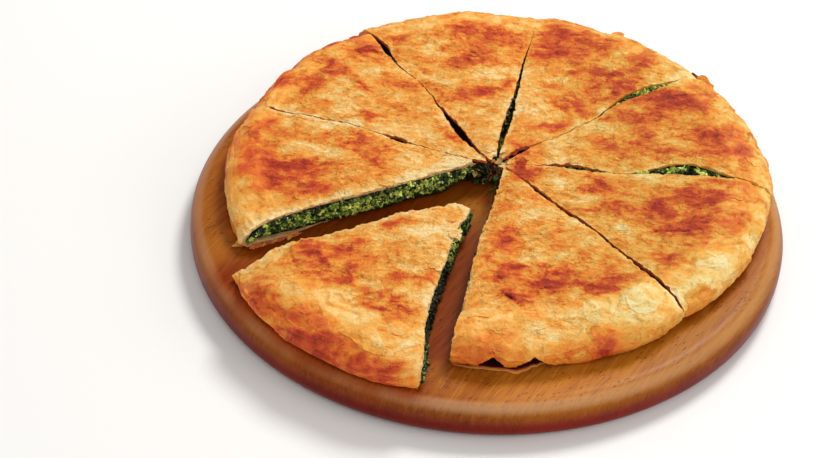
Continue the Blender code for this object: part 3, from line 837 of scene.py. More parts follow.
def wood_material():
    n = Nodes("beech_look")
    fibres = n.coordinates((16.0, 1.0, 3.0), 60)
    scratch = n.coordinates((24.0, 1.0, 3.0), 68)
    bands = n.coordinates((6.0, 1.0, 1.5), 58)
    flecks = n.coordinates((2.6, 1.0, 1.5), 44)
    even = n.coordinates()
    broad = n.noise(bands, 30, 3.0, 0.55, 0.4)
    lines = n.noise(fibres, 1500, 2.0, 0.6)
    wide = n.noise(fibres, 420, 2.0, 0.6)
    light = n.noise(scratch, 560, 1.0, 0.5)
    cloud = n.noise(even, 16, 2.0, 0.5)
    speck = n.noise(even, 2400, 2.0, 0.6)
    tone = n.math("MULTIPLY", broad, 0.36)
    for part, weight in ((lines, 0.30), (wide, 0.22), (cloud, 0.20), (speck, 0.16)):
        tone = n.math("ADD", tone, n.math("MULTIPLY", part, weight))
    colour = n.ramp(
        tone,
        (
            (0.46, srgb(128, 64, 13)),
            (0.56, srgb(156, 90, 21)),
            (0.66, srgb(177, 112, 30)),
            (0.80, srgb(198, 139, 50)),
        ),
    )
    colour = n.mix(n.math("MULTIPLY", n.spread(light, 0.60, 0.74), 0.14), colour, srgb(214, 164, 100))
    # short dark rays, the sign of beech
    spots = n.new("ShaderNodeTexVoronoi", feature="F1", distance="EUCLIDEAN")
    spots.inputs["Scale"].default_value = 640
    spots.inputs["Randomness"].default_value = 1.0
    n.link(flecks, spots.inputs["Vector"])
    few = n.noise(even, 90, 2.0, 0.5)
    dots = n.math(
        "MULTIPLY", n.spread(spots.outputs["Distance"], 0.36, 0.18), n.spread(few, 0.44, 0.60)
    )
    place_at = n.new("ShaderNodeSeparateXYZ")
    n.link(n.new("ShaderNodeTexCoord").outputs["Object"], place_at.inputs[0])
    flat = n.spread(place_at.outputs[2], 0.015, 0.0192)
    colour = n.mix(n.math("MULTIPLY", n.math("MULTIPLY", dots, flat), 0.62), colour, srgb(108, 44, 16))
    # the rounded side is painted redder and darker towards the foot, as shade where it turns down from the light
    low = n.spread(place_at.outputs[2], 0.0196, 0.0085)
    colour = n.mix(low, colour, n.mix(1.0, colour, (0.46, 0.055, 0.012), "MULTIPLY"))
    # and the edge round the flat is painted paler, a painted highlight along the rounding
    rim_painted_highlight = n.math("MULTIPLY", n.spread(place_at.outputs[2], 0.0199, 0.0188), n.spread(place_at.outputs[2], 0.0146, 0.0180))
    colour = n.mix(n.math("MULTIPLY", rim_painted_highlight, 0.44), colour, srgb(214, 166, 124))
    # the board's right side is painted a little browner and darker, painted shade against the lamps' sheen there, and
    # its near side paler, painted light where the pie's shadow falls
    colour = n.mix(n.spread(place_at.outputs[0], 0.03, 0.12), colour, n.mix(1.0, colour, (0.88, 0.82, 0.66), "MULTIPLY"))
    near_side_painted_light = n.math("MULTIPLY", n.spread(place_at.outputs[1], -0.085, -0.125), n.spread(place_at.outputs[2], 0.0184, 0.0198))
    near_side_painted_light = n.math("MULTIPLY", near_side_painted_light, n.spread(place_at.outputs[0], 0.11, 0.04))
    colour = n.mix(near_side_painted_light, colour, n.mix(1.0, colour, (1.16, 1.08, 1.12), "MULTIPLY"))
    # painted shade on the board: under and close by the slices, in the cuts between them, and more towards its left
    soaked = n.value("soaked")
    colour = n.mix(soaked, colour, n.mix(1.0, colour, (0.62, 0.22, 0.04), "MULTIPLY"))
    n.link(colour, n.shader.inputs["Base Color"])
    n.link(n.spread(lines, 0.3, 0.7, 0.31, 0.38), n.shader.inputs["Roughness"])
    n.shader.inputs["Specular IOR Level"].default_value = 0.13
    height = n.math("SUBTRACT", n.math("MULTIPLY", lines, 0.6), dots)
    n.link(n.bump(height, 0.18, 0.0003), n.shader.inputs["Normal"])
    return n.material


PASTRY = pastry_material()
FILLING = filling_material()
WOOD = wood_material()


# ============================================================================
# Board
# ============================================================================
def board_painted_shade_at(x, y):
    """Where the board is painted dark, as shade: under the slices, in the cuts between them and just outside; a little
    more on its left.
    """
    px, py = x - PIE_X, y - PIE_Y
    ragged_by = 4.0 * noise(px / 11, py / 11, 0.5, 701)
    front = smooth(-100, -88, np.degrees(np.arctan2(py, px))) * (1 - smooth(-50, -30, np.degrees(np.arctan2(py, px))))
    under = 1 - smooth(PIE_R - 5, PIE_R + 7 - 4 * front, np.hypot(px, py) + ragged_by + 2.5 * front)
    dx, dy = SLICES["slice_8"][6:]
    qx, qy = px - dx, py - dy
    turn = np.degrees(np.arctan2(qy, qx)) % 360
    wedge = smooth(200, 207, turn) * (1 - smooth(259, 264, turn))
    under = np.maximum(under, wedge * (1 - smooth(PIE_R - 2, PIE_R + 9, np.hypot(qx, qy) + ragged_by)))
    # less painted shade at two places in the cuts: painted light where the slices' shadow falls
    for cx, cy, wide, share in ((-8.5, -22.0, 17.0, 0.90), (-86.0, -57.0, 24.0, 0.50)):
        under = under * (1 - share * np.exp(-((px - cx) ** 2 + (py - cy) ** 2) / wide**2))
    # painted shade towards the board's left, away from the key lamp
    left = 0.42 * smooth(10, -150, x)
    return np.clip(0.85 * under + left * (1 - 0.7 * under), 0, 1)


def make_board():
    profile = []
    for i in range(17):
        t = 0.5 * math.pi * i / 16
        profile.append((BOARD_R - BOARD_LOW_ROUND * (1 - math.sin(t)), BOARD_LOW_ROUND * (1 - math.cos(t))))
    for i in range(21):
        t = 0.5 * math.pi * i / 20
        profile.append((BOARD_R - BOARD_TOP_ROUND * (1 - math.cos(t)), BOARD_T - BOARD_TOP_ROUND * (1 - math.sin(t))))
    profile += [(r, BOARD_T) for r in np.arange(139.0, 4.0, -3.0)]
    around = 256
    az = np.arange(around) * 2 * np.pi / around
    b = Builder()
    low = b.add([(0, 0, 0)], soaked=0.0)
    previous = None
    for r, z in profile:
        wave = 0.12 * noise(az * 0 + np.cos(az) * 3, np.sin(az) * 3, z / 9, 5)
        rr = r - 0.15 + wave
        bx, by = rr * np.cos(az), rr * np.sin(az)
        row = b.add(np.stack([bx, by, np.full(around, z)], -1), soaked=board_painted_shade_at(bx, by))
        ring = np.append(row, row[0])
        if previous is None:
            b.tri(np.stack([np.full(around, low[0]), ring[1:], ring[:-1]], -1))
        else:
            b.tri(strip(previous, ring), flip=True)
        previous = ring
    top = b.add([(0, 0, BOARD_T)], soaked=1.0)
    b.tri(np.stack([np.full(around, top[0]), previous[:-1], previous[1:]], -1))
    obj = make_object("board_look", *b.arrays(), WOOD, sharp=40)
    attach(obj, "root")
    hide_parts("board")
    return obj


# ============================================================================
# Crust
# ============================================================================
def crumple(x, y, z, size, seed):
    """Thin raised folds of crumpled leaves, 0 to 1, of about one size."""
    wx = x + 0.45 * size * noise(x / size / 1.3, y / size / 1.3, z + 0.7, seed)
    wy = y + 0.45 * size * noise(x / size / 1.3, y / size / 1.3, z + 4.2, seed + 1)
    return ridged(noise(wx / size / 1.15, wy / size / 0.85, z, seed + 2), 1.25)


def veins(x, y, z, size, seed):
    """Soft broad lines, 0 to 1, where the oven's heat ran along the folds."""
    wx = x + 0.5 * size * noise(x / size / 1.2, y / size / 1.2, z + 0.7, seed)
    wy = y + 0.5 * size * noise(x / size / 1.2, y / size / 1.2, z + 4.2, seed + 1)
    n = noise(wx / size, wy / size, z, seed + 2)
    return np.clip(1 - 1.4 * np.abs(n), 0, 1) ** 2.4


def relief(x, y, z, rim, az, arc, from_cut, brown):
    """Height of the crust's wrinkles over its plain form, the leaf pattern, and how much a place stands up as a fold. rim is 0 on the top and 1 on the outer edge."""
    h = 0.7 * noise(x / 17, y / 15, z / 30, 1)
    area = 0.35 + 0.65 * smooth(-0.3, 0.3, noise(x / 22, y / 20, 8.1, 7))
    a, b, c = crumple(x, y, 0.3, 11.0, 201), crumple(x, y, 2.3, 5.6, 211), crumple(x, y, 5.3, 3.0, 221)
    top = 0.80 * area * a + 0.55 * b + 0.36 * c
    top += 0.20 * noise(x / 1.9, y / 1.6, 1.9, 8)
    top += 0.35 * np.clip(brown, 0, 1)
    along = az * PIE_R
    side = 0.9 * noise(along / 16.0, arc / 13.0, 3.9, 12)
    d, e, f = (crumple(along, arc * 1.5, 0.9, 13.0, 231), crumple(along, arc * 1.3, 3.1, 5.5, 241),
               crumple(along, arc, 6.1, 2.6, 251))
    side += 0.55 * d + 0.26 * e + 0.09 * f + 0.06 * noise(along / 1.8, arc / 1.8, 1.1, 14)
    h = h + top * (1 - rim) + side * rim
    fold = (0.30 * a + 0.36 * b + 0.34 * c) * (1 - rim) + (0.35 * d + 0.35 * e + 0.3 * f) * rim
    # leaves of pastry, each a step above the next, with torn edges
    tear = 0.10 * noise(x / 2.6, y / 2.6, z / 3, 23) + 0.05 * noise(x / 1.2, y / 1.2, z / 2, 24)
    leaf_top = layered(x / 19, y / 14, 2.2, 21, 2)
    leaf_rim = layered(along / 18, arc / 12, 7.2, 22, 2)
    leaf = leaf_top * (1 - rim) + leaf_rim * rim + tear
    h += (0.26 + 0.26 * rim) * (smooth(0.15, 0.18, leaf) + smooth(-0.23, -0.20, leaf))
    return h, leaf, fold


def arc_length(piece, kind, t, r):
    if kind == "top":
        return r - (PIE_R - SLICES[piece][3])
    if kind == "rim":
        return t * rim_length(piece)
    return rim_length(piece) + t * 6.0


def rim_length(piece):
    """Way down the rim, in mm."""
    return (SLICES[piece][3] + PIE_H * 0.7) * 0.86


# where the crust's foot is torn open: slice, azimuth, half width, height, depth
NOTCHES = (
    ("slice_7", -88.9, 7.2, 9.0, 6.0), ("slice_7", -80.8, 9.4, 8.6, 6.2), ("slice_7", -75.0, 5.0, 4.2, 3.8),
    ("slice_7", -94.0, 6.5, 4.4, 3.6), ("slice_7", -86.0, 26.0, 2.9, 2.6), ("slice_8", -120.0, 44.0, 1.4, 1.6),
    ("slice_6", -28.0, 30.0, 1.4, 1.6), ("slice_7", -62.0, 20.0, 1.4, 1.6), ("slice_8", -122.0, 4.5, 2.4, 2.4), ("slice_8", -137.0, 5.5, 2.0, 2.2),
    ("slice_6", -33.0, 5.0, 2.2, 2.2), ("slice_6", -12.0, 5.0, 2.6, 2.4), ("slice_5", 12.0, 5.0, 2.4, 2.2),
    ("slice_5", 27.0, 4.0, 2.8, 2.4), ("slice_4", 53.0, 5.0, 2.6, 2.4), ("slice_4", 71.0, 4.0, 2.0, 2.0),
    ("slice_3", 97.0, 5.5, 3.0, 2.6), ("slice_3", 112.0, 4.0, 2.2, 2.2), ("slice_2", 134.0, 5.0, 2.6, 2.4),
    ("slice_2", 152.0, 6.0, 2.2, 2.2), ("slice_1", 176.0, 4.0, 2.0, 1.2), ("slice_1", 190.0, 5.0, 2.4, 1.2),
)


def notched(piece, az, z):
    """Depth and share of the torn openings at the foot; the share also sets how dark their painted shade is."""
    deep, share = np.zeros_like(z), np.zeros_like(z)
    for who, at, half, high, depth in NOTCHES:
        if who != piece:
            continue
        off = np.abs((az - math.radians(at) + np.pi) % (2 * np.pi) - np.pi) * PIE_R
        off = off + 0.8 * noise(az * PIE_R / 2.5, 0.5, 0.5, 95)
        top = high * np.clip(1 - off / half, 0, 1) ** 0.5
        inside = smooth(top + 0.5, top - 0.2, z) * (off < half)
        deep = np.maximum(deep, depth * inside)
        share = np.maximum(share, inside)
    return deep, share


PALE_BESIDE = {"h": 0.26, "pulled_left": 0.14, "c": 0.12, "a": 0.08, "pulled_right": 0.10}


def crust_row(piece, kind, t, u, inset=0.0, back=None, fine=True):
    """World points in mm and the values of one row of the crust."""
    first, second = SLICES[piece][:2]
    dx, dy = SLICES[piece][6:]
    t = np.broadcast_to(np.asarray(t, float), u.shape)
    if back is None:
        probe = section(piece, u, kind, t, inset)[7]
        back0, back1 = ragged(first, 1, probe), ragged(second, -1, probe)
        if kind in ("foot", "under"):
            back0 = back0 * 0.6 + foot_recess(first, 1, probe)
            back1 = back1 * 0.6 + foot_recess(second, -1, probe)
    else:
        back0 = back1 = back
    x, y, z, nr, nz, az, d, r = section(piece, u, kind, t, inset, back0, back1)[:8]
    brown, pale = browning(x, y)
    arc = arc_length(piece, kind, t, r)
    rim = {"top": smooth(-9.0, 2.0, arc), "rim": np.ones_like(r), "foot": np.ones_like(r), "under": np.ones_like(r)}[kind]
    h, leaf, fold = relief(x, y, z, rim, az, arc, d, brown)
    dent, line = creases(x, y)
    h = h - dent
    if kind == "under":
        h = h * 0
    if kind == "foot":
        h = h * np.clip(1 - t, 0.2, 1) + 0.5 * noise(az * PIE_R / 5, 0.5, 0.5, 31) * t
    torn = 0.0
    if kind in ("rim", "foot"):
        deep, torn = notched(piece, az, z)
        h = h * (1 - torn)
        x, y = x - deep * np.cos(az), y - deep * np.sin(az)
    x = x + (nr * h) * np.cos(az)
    y = y + (nr * h) * np.sin(az)
    z = z + nz * h
    z = np.maximum(z, LIFT * 0.6)
    # colour: golden, paler where it was shaded by wrinkles, browned where it stood up
    broad = layered(x / 30, y / 26, 1.4, 51, 2)
    vein = veins(x / 1.5, y, 1.7, 13.0, 261)
    vein_b = veins(x / 1.3, y, 3.7, 6.5, 271)
    streak = layered(x / 6.0, y / 2.6, z / 4, 52, 3)
    bake = 0.25 + 0.20 * broad + vein * (0.15 + 0.30 * brown) + 0.13 * vein_b + 0.18 * streak
    bake = bake + brown * (0.26 + 0.34 * vein_b + 0.45 * streak) - pale * 0.22
    bake = bake + 0.10 * (fold - 0.3) + 0.85 * zones(x, y)
    # the brownest places stop at a red orange
    bake = np.where(bake > 0.62, 0.62 + 0.42 * np.tanh((bake - 0.62) / 0.40), bake)
    bake = np.where(bake < 0.10, 0.10 + 0.20 * np.tanh((bake - 0.10) / 0.20), bake)
    bake = bake + 0.30 * line
    edge = np.exp(-((d / 2.2) ** 2))
    bake = bake - edge * (0.10 + 0.15 * noise(r / 9, az * 7, 0.5, 53))
    for cut, beside in zip((first, second), section(piece, u, kind, t, inset, back0, back1)[8]):
        bake = bake - PALE_BESIDE.get(cut, 0.0) * np.exp(-((beside / 5.5) ** 2))
    low = smooth(14, 28, arc)
    lobes = layered(az * PIE_R / 17, arc / 9, 3.3, 54, 3)
    lively = 0.16 if piece == "slice_7" else 0.30
    bake = bake + smooth(0.05, 0.95, rim) * (0.07 + lively * lobes - 0.25 * bake)
    # towards the left and the back the outside is browner
    turned = np.degrees(az) % 360
    far = smooth(112, 128, turned) * (1 - smooth(163, 176, turned))
    bake = bake + 0.18 * low + 0.26 * far * smooth(7, 14, arc) * (rim > 0.5)
    # painted shade: the torn openings at the foot are darkened nearly to black
    bake = bake + 1.1 * torn
    calm = np.clip(rim * (0.85 + 0.9 * noise(x / 15, y / 15, z / 12, 55)), 0, 1)
    points = np.stack([PIE_X + dx + x, PIE_Y + dy + y, BOARD_T + z], -1)
    return points, bake, leaf, calm


# ============================================================================
# Torn leaves of pastry on the crust
# ============================================================================
# Placed one by one: slice, azimuth, mm outward and down from where the rim begins, half sizes round the pie
# and down, turn, lift, tone, raw share at the edge, curl and where it curls: 0 counter-clockwise, 90 down
LEAVES = (
    ("slice_7", -84.6, 16.5, 10.5, 7.0, 0, 0.65, -0.06, 0.12, 0.7, 90),
    ("slice_7", -84.0, 5.0, 13.0, 7.0, 8, 0.45, -0.05, 0.15, 0.4, -90),
    ("slice_7", -63.5, 20.5, 10.0, 5.5, -8, 0.6, 0.10, 0.1, 0.5, 90),
    ("slice_7", -57.0, 22.0, 5.5, 3.0, -18, 0.5, 0.06, 0.2, 1.4, 60),
    ("slice_7", -70.9, 4.0, 5.5, 4.5, 10, 0.3, 0.08, 0.0, 0.1, 180),
    ("slice_7", -67.0, 2.0, 4.0, 6.5, 12, 0.30, -0.08, 0.15, 0.2, 0),
    ("slice_7", -93.2, 16.0, 8.5, 6.5, 0, 0.45, 0.10, 0.1, 0.3, 0),
    ("slice_7", -75.5, 15.0, 9.0, 6.5, 0, 0.5, 0.02, 0.1, 0.5, 90),
    ("slice_7", -55.5, 6.0, 7.0, 6.0, 30, 0.4, -0.12, 0.15, 0.3, 180),
    ("slice_6", -42.0, 21.0, 12.0, 6.0, -4, 0.6, 0.18, 0.1, 0.4, 90),
    ("slice_6", -35.0, 12.0, 12.0, 7.0, 0, 0.35, -0.02, 0.1, 0.3, 0),
    ("slice_6", -16.0, 17.0, 9.0, 5.0, -8, 0.4, 0.05, 0.1, 0.4, 90),
    ("slice_8", -113.5, 9.0, 12.0, 5.5, 6, 0.4, -0.08, 0.1, 0.4, 90),
    ("slice_8", -123.0, 18.0, 12.0, 7.0, 0, 0.5, 0.10, 0.1, 0.5, 90),
    ("slice_8", -132.0, 10.0, 10.0, 6.0, 8, 0.4, -0.04, 0.1, 0.3, 180),
    ("slice_8", -140.0, 19.0, 10.0, 6.0, 0, 0.5, 0.10, 0.1, 0.5, 90),
    ("slice_8", -106.0, 21.0, 9.0, 6.0, 0, 0.5, 0.06, 0.1, 0.8, 90),
    ("slice_1", 184.0, 17.5, 26.0, 4.2, 0, 0.8, 0.02, 0.1, 0.7, 90),
    ("slice_1", 200.0, 14.0, 12.0, 6.0, 0, 0.5, 0.02, 0.1, 0.5, 90),
    ("slice_5", 9.5, 10.0, 9.0, 5.0, 0, 0.4, -0.12, 0.15, 0.4, 0),
    ("slice_5", 24.0, 9.5, 2.6, 1.3, 0, 0.5, 0.14, 0.0, 0.9, 90),
    ("slice_5", 14.5, 11.0, 2.4, 1.2, 0, 0.5, 0.16, 0.0, 0.9, 90),
    ("slice_5", 8.0, 11.5, 2.8, 1.3, 0, 0.5, 0.12, 0.0, 0.9, 90),
    ("slice_4", 62.0, 10.0, 4.0, 2.2, 0, 0.5, 0.16, 0.1, 2.4, 90),
    ("slice_4", 75.0, 10.0, 9.0, 3.0, 0, 0.4, 0.05, 0.1, 0.4, 90),
    ("slice_3", 99.0, 9.0, 9.0, 4.0, 0, 0.4, 0.05, 0.1, 0.5, 90),
    ("slice_3", 119.0, 8.0, 6.0, 4.0, 0, 0.3, 0.0, 0.0, 0.3, 90),
    ("slice_2", 128.5, 10.5, 3.0, 1.6, 0, 0.4, 0.55, 0.0, 0.7, 90),
    ("slice_2", 136.0, 10.5, 6.0, 2.0, 0, 0.3, 0.25, 0.0, 0.4, 90),
    ("slice_2", 152.0, 11.0, 10.0, 3.0, 0, 0.3, 0.10, 0.0, 0.3, 90),
    # the middle of the pie
    ("slice_1", 191.0, -103.0, 3.9, 9.0, 0, 0.35, -0.26, 0.30, 0.7, -90),
    ("slice_4", 72.0, -117.5, 4.0, 4.2, 0, 0.45, -0.10, 0.15, 1.0, -90),
    ("slice_2", 153.0, -112.0, 3.0, 4.5, 0, 0.35, 0.06, 0.1, 0.6, -90),
    ("slice_3", 118.0, -115.0, 4.5, 3.8, 0, 0.35, 0.02, 0.1, 0.6, -90),
    ("slice_5", 10.0, -110.0, 4.2, 3.4, 20, 0.4, 0.12, 0.1, 0.7, 180),
    ("slice_5", -2.0, -113.0, 3.0, 3.2, 0, 0.4, 0.20, 0.1, 0.8, 0),
    ("slice_6", -38.0, -108.0, 3.6, 4.0, 0, 0.4, 0.12, 0.1, 0.6, 0),
    ("slice_7", -72.0, -109.0, 4.0, 3.6, 0, 0.4, -0.05, 0.1, 0.6, -90),
)


def disc_faces(rings, spokes):
    """Closed disc of two layers, each a middle point and rings of points, counter-clockwise from above."""
    size = 1 + rings * spokes
    ring = [np.append(np.arange(spokes), 0) + 1 + k * spokes for k in range(rings)]
    faces = []
    for base, flip in ((0, False), (size, True)):
        part = [np.stack([np.zeros(spokes, int), ring[0][:-1], ring[0][1:]], -1)]
        part += [strip(ring[k], ring[k + 1]) for k in range(rings - 1)]
        part = np.concatenate(part) + base
        faces.append(part[:, ::-1] if flip else part)
    faces.append(strip(ring[-1], ring[-1] + size))
    return np.concatenate(faces)


def torn_disc(long, wide, seed, rings, spokes):
    """Flat points of a torn leaf: middle, then rings. Also each point's share of the way out and its direction."""
    th = np.arange(spokes) * 2 * np.pi / spokes
    c, s = np.cos(th), np.sin(th)
    out = 1 + 0.60 * noise(c * 1.1 + 7 * seed, s * 1.1, 0.5, 801) + 0.20 * noise(c * 2.6 + 7 * seed, s * 2.6, 3.5, 802)
    out = out + (0.10 if long < 5 else 0.045) * noise(c * 8.3 + 7 * seed, s * 8.3, 6.5, 803)
    k = (np.arange(rings) + 1) / rings
    x = np.append(0, (long * k[:, None] * (out * c)[None, :]).ravel())
    y = np.append(0, (wide * k[:, None] * (out * s)[None, :]).ravel())
    return x, y, np.append(0, np.repeat(k, spokes)), np.append(0, np.tile(th, rings))


def crust_at(piece, az, s):
    """The crust's surface at azimuths and distances from where the rim begins: points, outward normals, and the values bake, leaf and calm."""
    first, second, tip, rim, extra = SLICES[piece][:5]
    length = rim_length(piece)
    turn = math.radians(CUTS[second][0]) - math.radians(CUTS[first][0])
    whole = 2 * np.pi * math.ceil(-turn / (2 * np.pi)) if turn < 0 else 0.0
    shoulder = PIE_R + extra - rim
    r = shoulder + np.where(s < 0, s, rim * np.sin(0.5 * np.pi * np.clip(s / length, 0, 1)))
    r = np.maximum(r, tip)
    a = side_azimuth(first, r, 1)
    b = side_azimuth(second, r, -1) + whole
    middle = 0.5 * (a + b)
    az = middle + (az - middle + np.pi) % (2 * np.pi) - np.pi
    u = np.clip((az - a) / (b - a), 0.004, 0.996)
    points, normals, values = np.zeros((len(s), 3)), np.zeros((len(s), 3)), np.zeros((3, len(s)))
    for kind, chosen, t in (
        ("top", s < 0, np.clip((r - tip) / (shoulder - tip), 0, 1)),
        ("rim", (s >= 0) & (s < length), s / length),
        ("foot", s >= length, np.clip((s - length) / 6.0, 0, 1)),
    ):
        if not chosen.any():
            continue
        uu, tt = u[chosen], t[chosen]
        p, bake, leaf, calm = crust_row(piece, kind, tt, uu, back=0.0)
        _, _, _, nr, nz, turned = section(piece, uu, kind, tt)[:6]
        points[chosen] = p
        normals[chosen] = np.stack([nr * np.cos(turned), nr * np.sin(turned), nz], -1)
        values[:, chosen] = (bake, leaf, calm)
    normals /= np.linalg.norm(normals, axis=1)[:, None]
    return points, normals, values


def small_leaves(piece, rng):
    """Small torn leaves all over the slice, in the form of LEAVES."""
    first, second, tip, rim, extra = SLICES[piece][:5]
    length = rim_length(piece)
    out = []
    for i in range(42):
        on_rim = i < 15
        s = rng.uniform(-2, length + 1) if on_rim else -rng.uniform(4, PIE_R - rim - tip - 14)
        r = PIE_R + extra - rim + min(s, 0) + (rim * 0.7 if s > 0 else 0)
        a = float(side_azimuth(first, np.array([r]), 1)[0])
        b = float(side_azimuth(second, np.array([r]), -1)[0])
        b += 2 * math.pi * math.ceil((a - b) / (2 * math.pi)) if b < a else 0.0
        az = a + rng.uniform(0.06, 0.94) * (b - a)
        size = rng.uniform(2.2, 6.5) if on_rim else rng.uniform(1.6, 4.6)
        out.append((
            piece, math.degrees(az), s, size, size * rng.uniform(0.45, 0.8), rng.uniform(-50, 50),
            rng.uniform(0.12, 0.34) if on_rim else rng.uniform(0.10, 0.26), rng.uniform(-0.07, 0.07),
            rng.uniform(0.0, 0.15), rng.uniform(0.1, 0.9) ** 2 * (0.6 if on_rim else 0.5),
            rng.uniform(0, 360),
        ))
    return out


def add_leaves(b, piece):
    rng = np.random.default_rng(7000 + int(piece[-1]))
    rim, extra = SLICES[piece][3:5]
    shoulder = PIE_R + extra - rim
    grids = []
    for seed, leaf in enumerate([v for v in LEAVES if v[0] == piece] + small_leaves(piece, rng)):
        _, at, s, long, wide, turn, lift, tone, raw, curl, towards = leaf
        rings, spokes = (5, 36) if long > 6.6 else (3, 22)
        x, y, k, th = torn_disc(long, wide, seed + 31 * int(piece[-1]), rings, spokes)
        c, sn = math.cos(math.radians(turn)), math.sin(math.radians(turn))
        r = max(shoulder + s if s < 0 else shoulder + 0.7 * rim, 8.0)
        grids.append((math.radians(at) + (x * c - y * sn) / r, s + x * sn + y * c, k, th, rings, spokes, leaf))
    az, s = np.concatenate([g[0] for g in grids]), np.concatenate([g[1] for g in grids])
    points, normals, values = crust_at(piece, az, np.minimum(s, rim_length(piece) + 0.3 + 0.05 * (s - rim_length(piece))))
    at = 0
    for x, _, k, th, rings, spokes, (_, _, _, long, wide, _, lift, tone, raw, curl, towards) in grids:
        n = len(x)
        p, normal, (bake, leaf, calm) = points[at:at + n], normals[at:at + n], values[:, at:at + n]
        at += n
        c = curl * k**3 * np.maximum(0, np.cos(th - math.radians(towards))) ** 1.5
        up = 0.55 * lift + c
        thin = np.clip(c / 0.7, 0, 1)
        down = -0.3 * (1 - thin) + thin * (up - 0.35)
        top = p + normal * up[:, None]
        low = p + normal * down[:, None]
        for q in (top, low):
            q[:, 2] = np.maximum(q[:, 2], BOARD_T + 0.15)
        shift = 0.35 * math.sin(12.9 * tone + long)
        dough = 0.5 * raw * k**6
        b_top = np.clip(bake + tone - 0.05 * k**5, -0.05, 1.0)
        # the leaf's underside is painted darker, as shade under it
        ids = b.add(np.concatenate([top, low]), bake=np.concatenate([b_top, b_top + 0.2]),
                    leaf=np.tile(leaf + shift, 2), dough=np.concatenate([dough, dough]), calm=np.tile(calm, 2))
        b.tri(disc_faces(rings, spokes) + ids[0], flip=True)


def plate(b, piece, centre, normal, along, long, wide, thick, bend, seed, **values):
    """A torn leaf that stands free of the crust, in pie coordinates."""
    dx, dy = SLICES[piece][6:]
    n = np.array(normal, float)
    n /= np.linalg.norm(n)
    a = np.array(along, float)
    a -= (a @ n) * n
    a /= np.linalg.norm(a)
    w = np.cross(n, a)
    rings, spokes = (4, 24) if long > 2.5 else (2, 10)
    x, y, k, th = torn_disc(long, wide, seed, rings, spokes)
    lift = bend * (x / long) ** 2 * long + 0.16 * long * noise(x / long * 1.3, y / long * 1.3, seed, 811)
    flat = np.array([PIE_X + dx, PIE_Y + dy, BOARD_T]) + np.array(centre, float) + x[:, None] * a + y[:, None] * w
    top, low = flat + (lift + thick / 2)[:, None] * n, flat + (lift - thick / 2)[:, None] * n
    points = np.concatenate([top, low])
    points[:, 2] = np.maximum(points[:, 2], BOARD_T + 0.12)
    ids = b.add(points, **{name: np.tile(np.asarray(v, np.float32), (len(points), 1)) if np.ndim(v) else np.full(len(points), v) for name, v in values.items()})
    b.tri(disc_faces(rings, spokes) + ids[0])


def thread(b, piece, knots, radius, **values):
    """A thin bent string through some points, in pie coordinates."""
    dx, dy = SLICES[piece][6:]
    knots = np.array(knots, float) + np.array([PIE_X + dx, PIE_Y + dy, BOARD_T])
    t = np.linspace(0, len(knots) - 1, 5 * (len(knots) - 1) + 1)
    q = np.stack([np.interp(t, np.arange(len(knots)), knots[:, i]) for i in range(3)], -1)
    for _ in range(3):
        q[1:-1] = 0.25 * q[:-2] + 0.5 * q[1:-1] + 0.25 * q[2:]
    way = np.gradient(q, axis=0)
    way /= np.linalg.norm(way, axis=1)[:, None]
    side = np.cross(way, [0.3, 0.2, 0.93])
    side /= np.linalg.norm(side, axis=1)[:, None]
    other = np.cross(way, side)
    sides = 6
    th = np.arange(sides) * 2 * np.pi / sides
    thin = radius * (1 - 0.6 * np.abs(np.linspace(-1, 1, len(q))) ** 3)
    rings = q[:, None, :] + thin[:, None, None] * (
        np.cos(th)[None, :, None] * side[:, None, :] + np.sin(th)[None, :, None] * other[:, None, :]
    )
    points = rings.reshape(-1, 3)
    points[:, 2] = np.maximum(points[:, 2], BOARD_T + 0.12)
    ids = b.add(points, **{name: np.tile(np.asarray(v, np.float32), (len(points), 1)) if np.ndim(v) else np.full(len(points), v) for name, v in values.items()})
    rows = [np.append(ids[i * sides:(i + 1) * sides], ids[i * sides]) for i in range(len(q))]
    for i in range(len(q) - 1):
        b.tri(strip(rows[i], rows[i + 1]), flip=True)
    for end, flip in ((0, False), (len(q) - 1, True)):
        r = rows[end][:-1]
        b.tri([(r[0], r[k + 1], r[k]) for k in range(1, sides - 1)], flip=not flip)


# thin sheets that stick out on the board under the foot: slice, then azimuth and radius of their edge
SHEETS = (
    ("slice_7", ((-97.6, 134.5), (-96.8, 137.2), (-95.6, 138.2), (-91.2, 138.4), (-87.3, 139.2), (-84.1, 140.6),
                 (-81.4, 137.4), (-79.3, 135.4), (-76.0, 134.0))),
    ("slice_4", ((50.0, 134.5), (53.0, 139.0), (56.0, 138.6), (58.0, 134.5))),
    ("slice_3", ((94.0, 134.0), (97.0, 138.8), (100.5, 138.0), (103.0, 134.0))),
    ("slice_1", ((186.0, 135.0), (190.0, 139.2), (196.0, 139.6), (201.0, 139.8), (204.0, 138.8), (206.0, 136.0))),
)


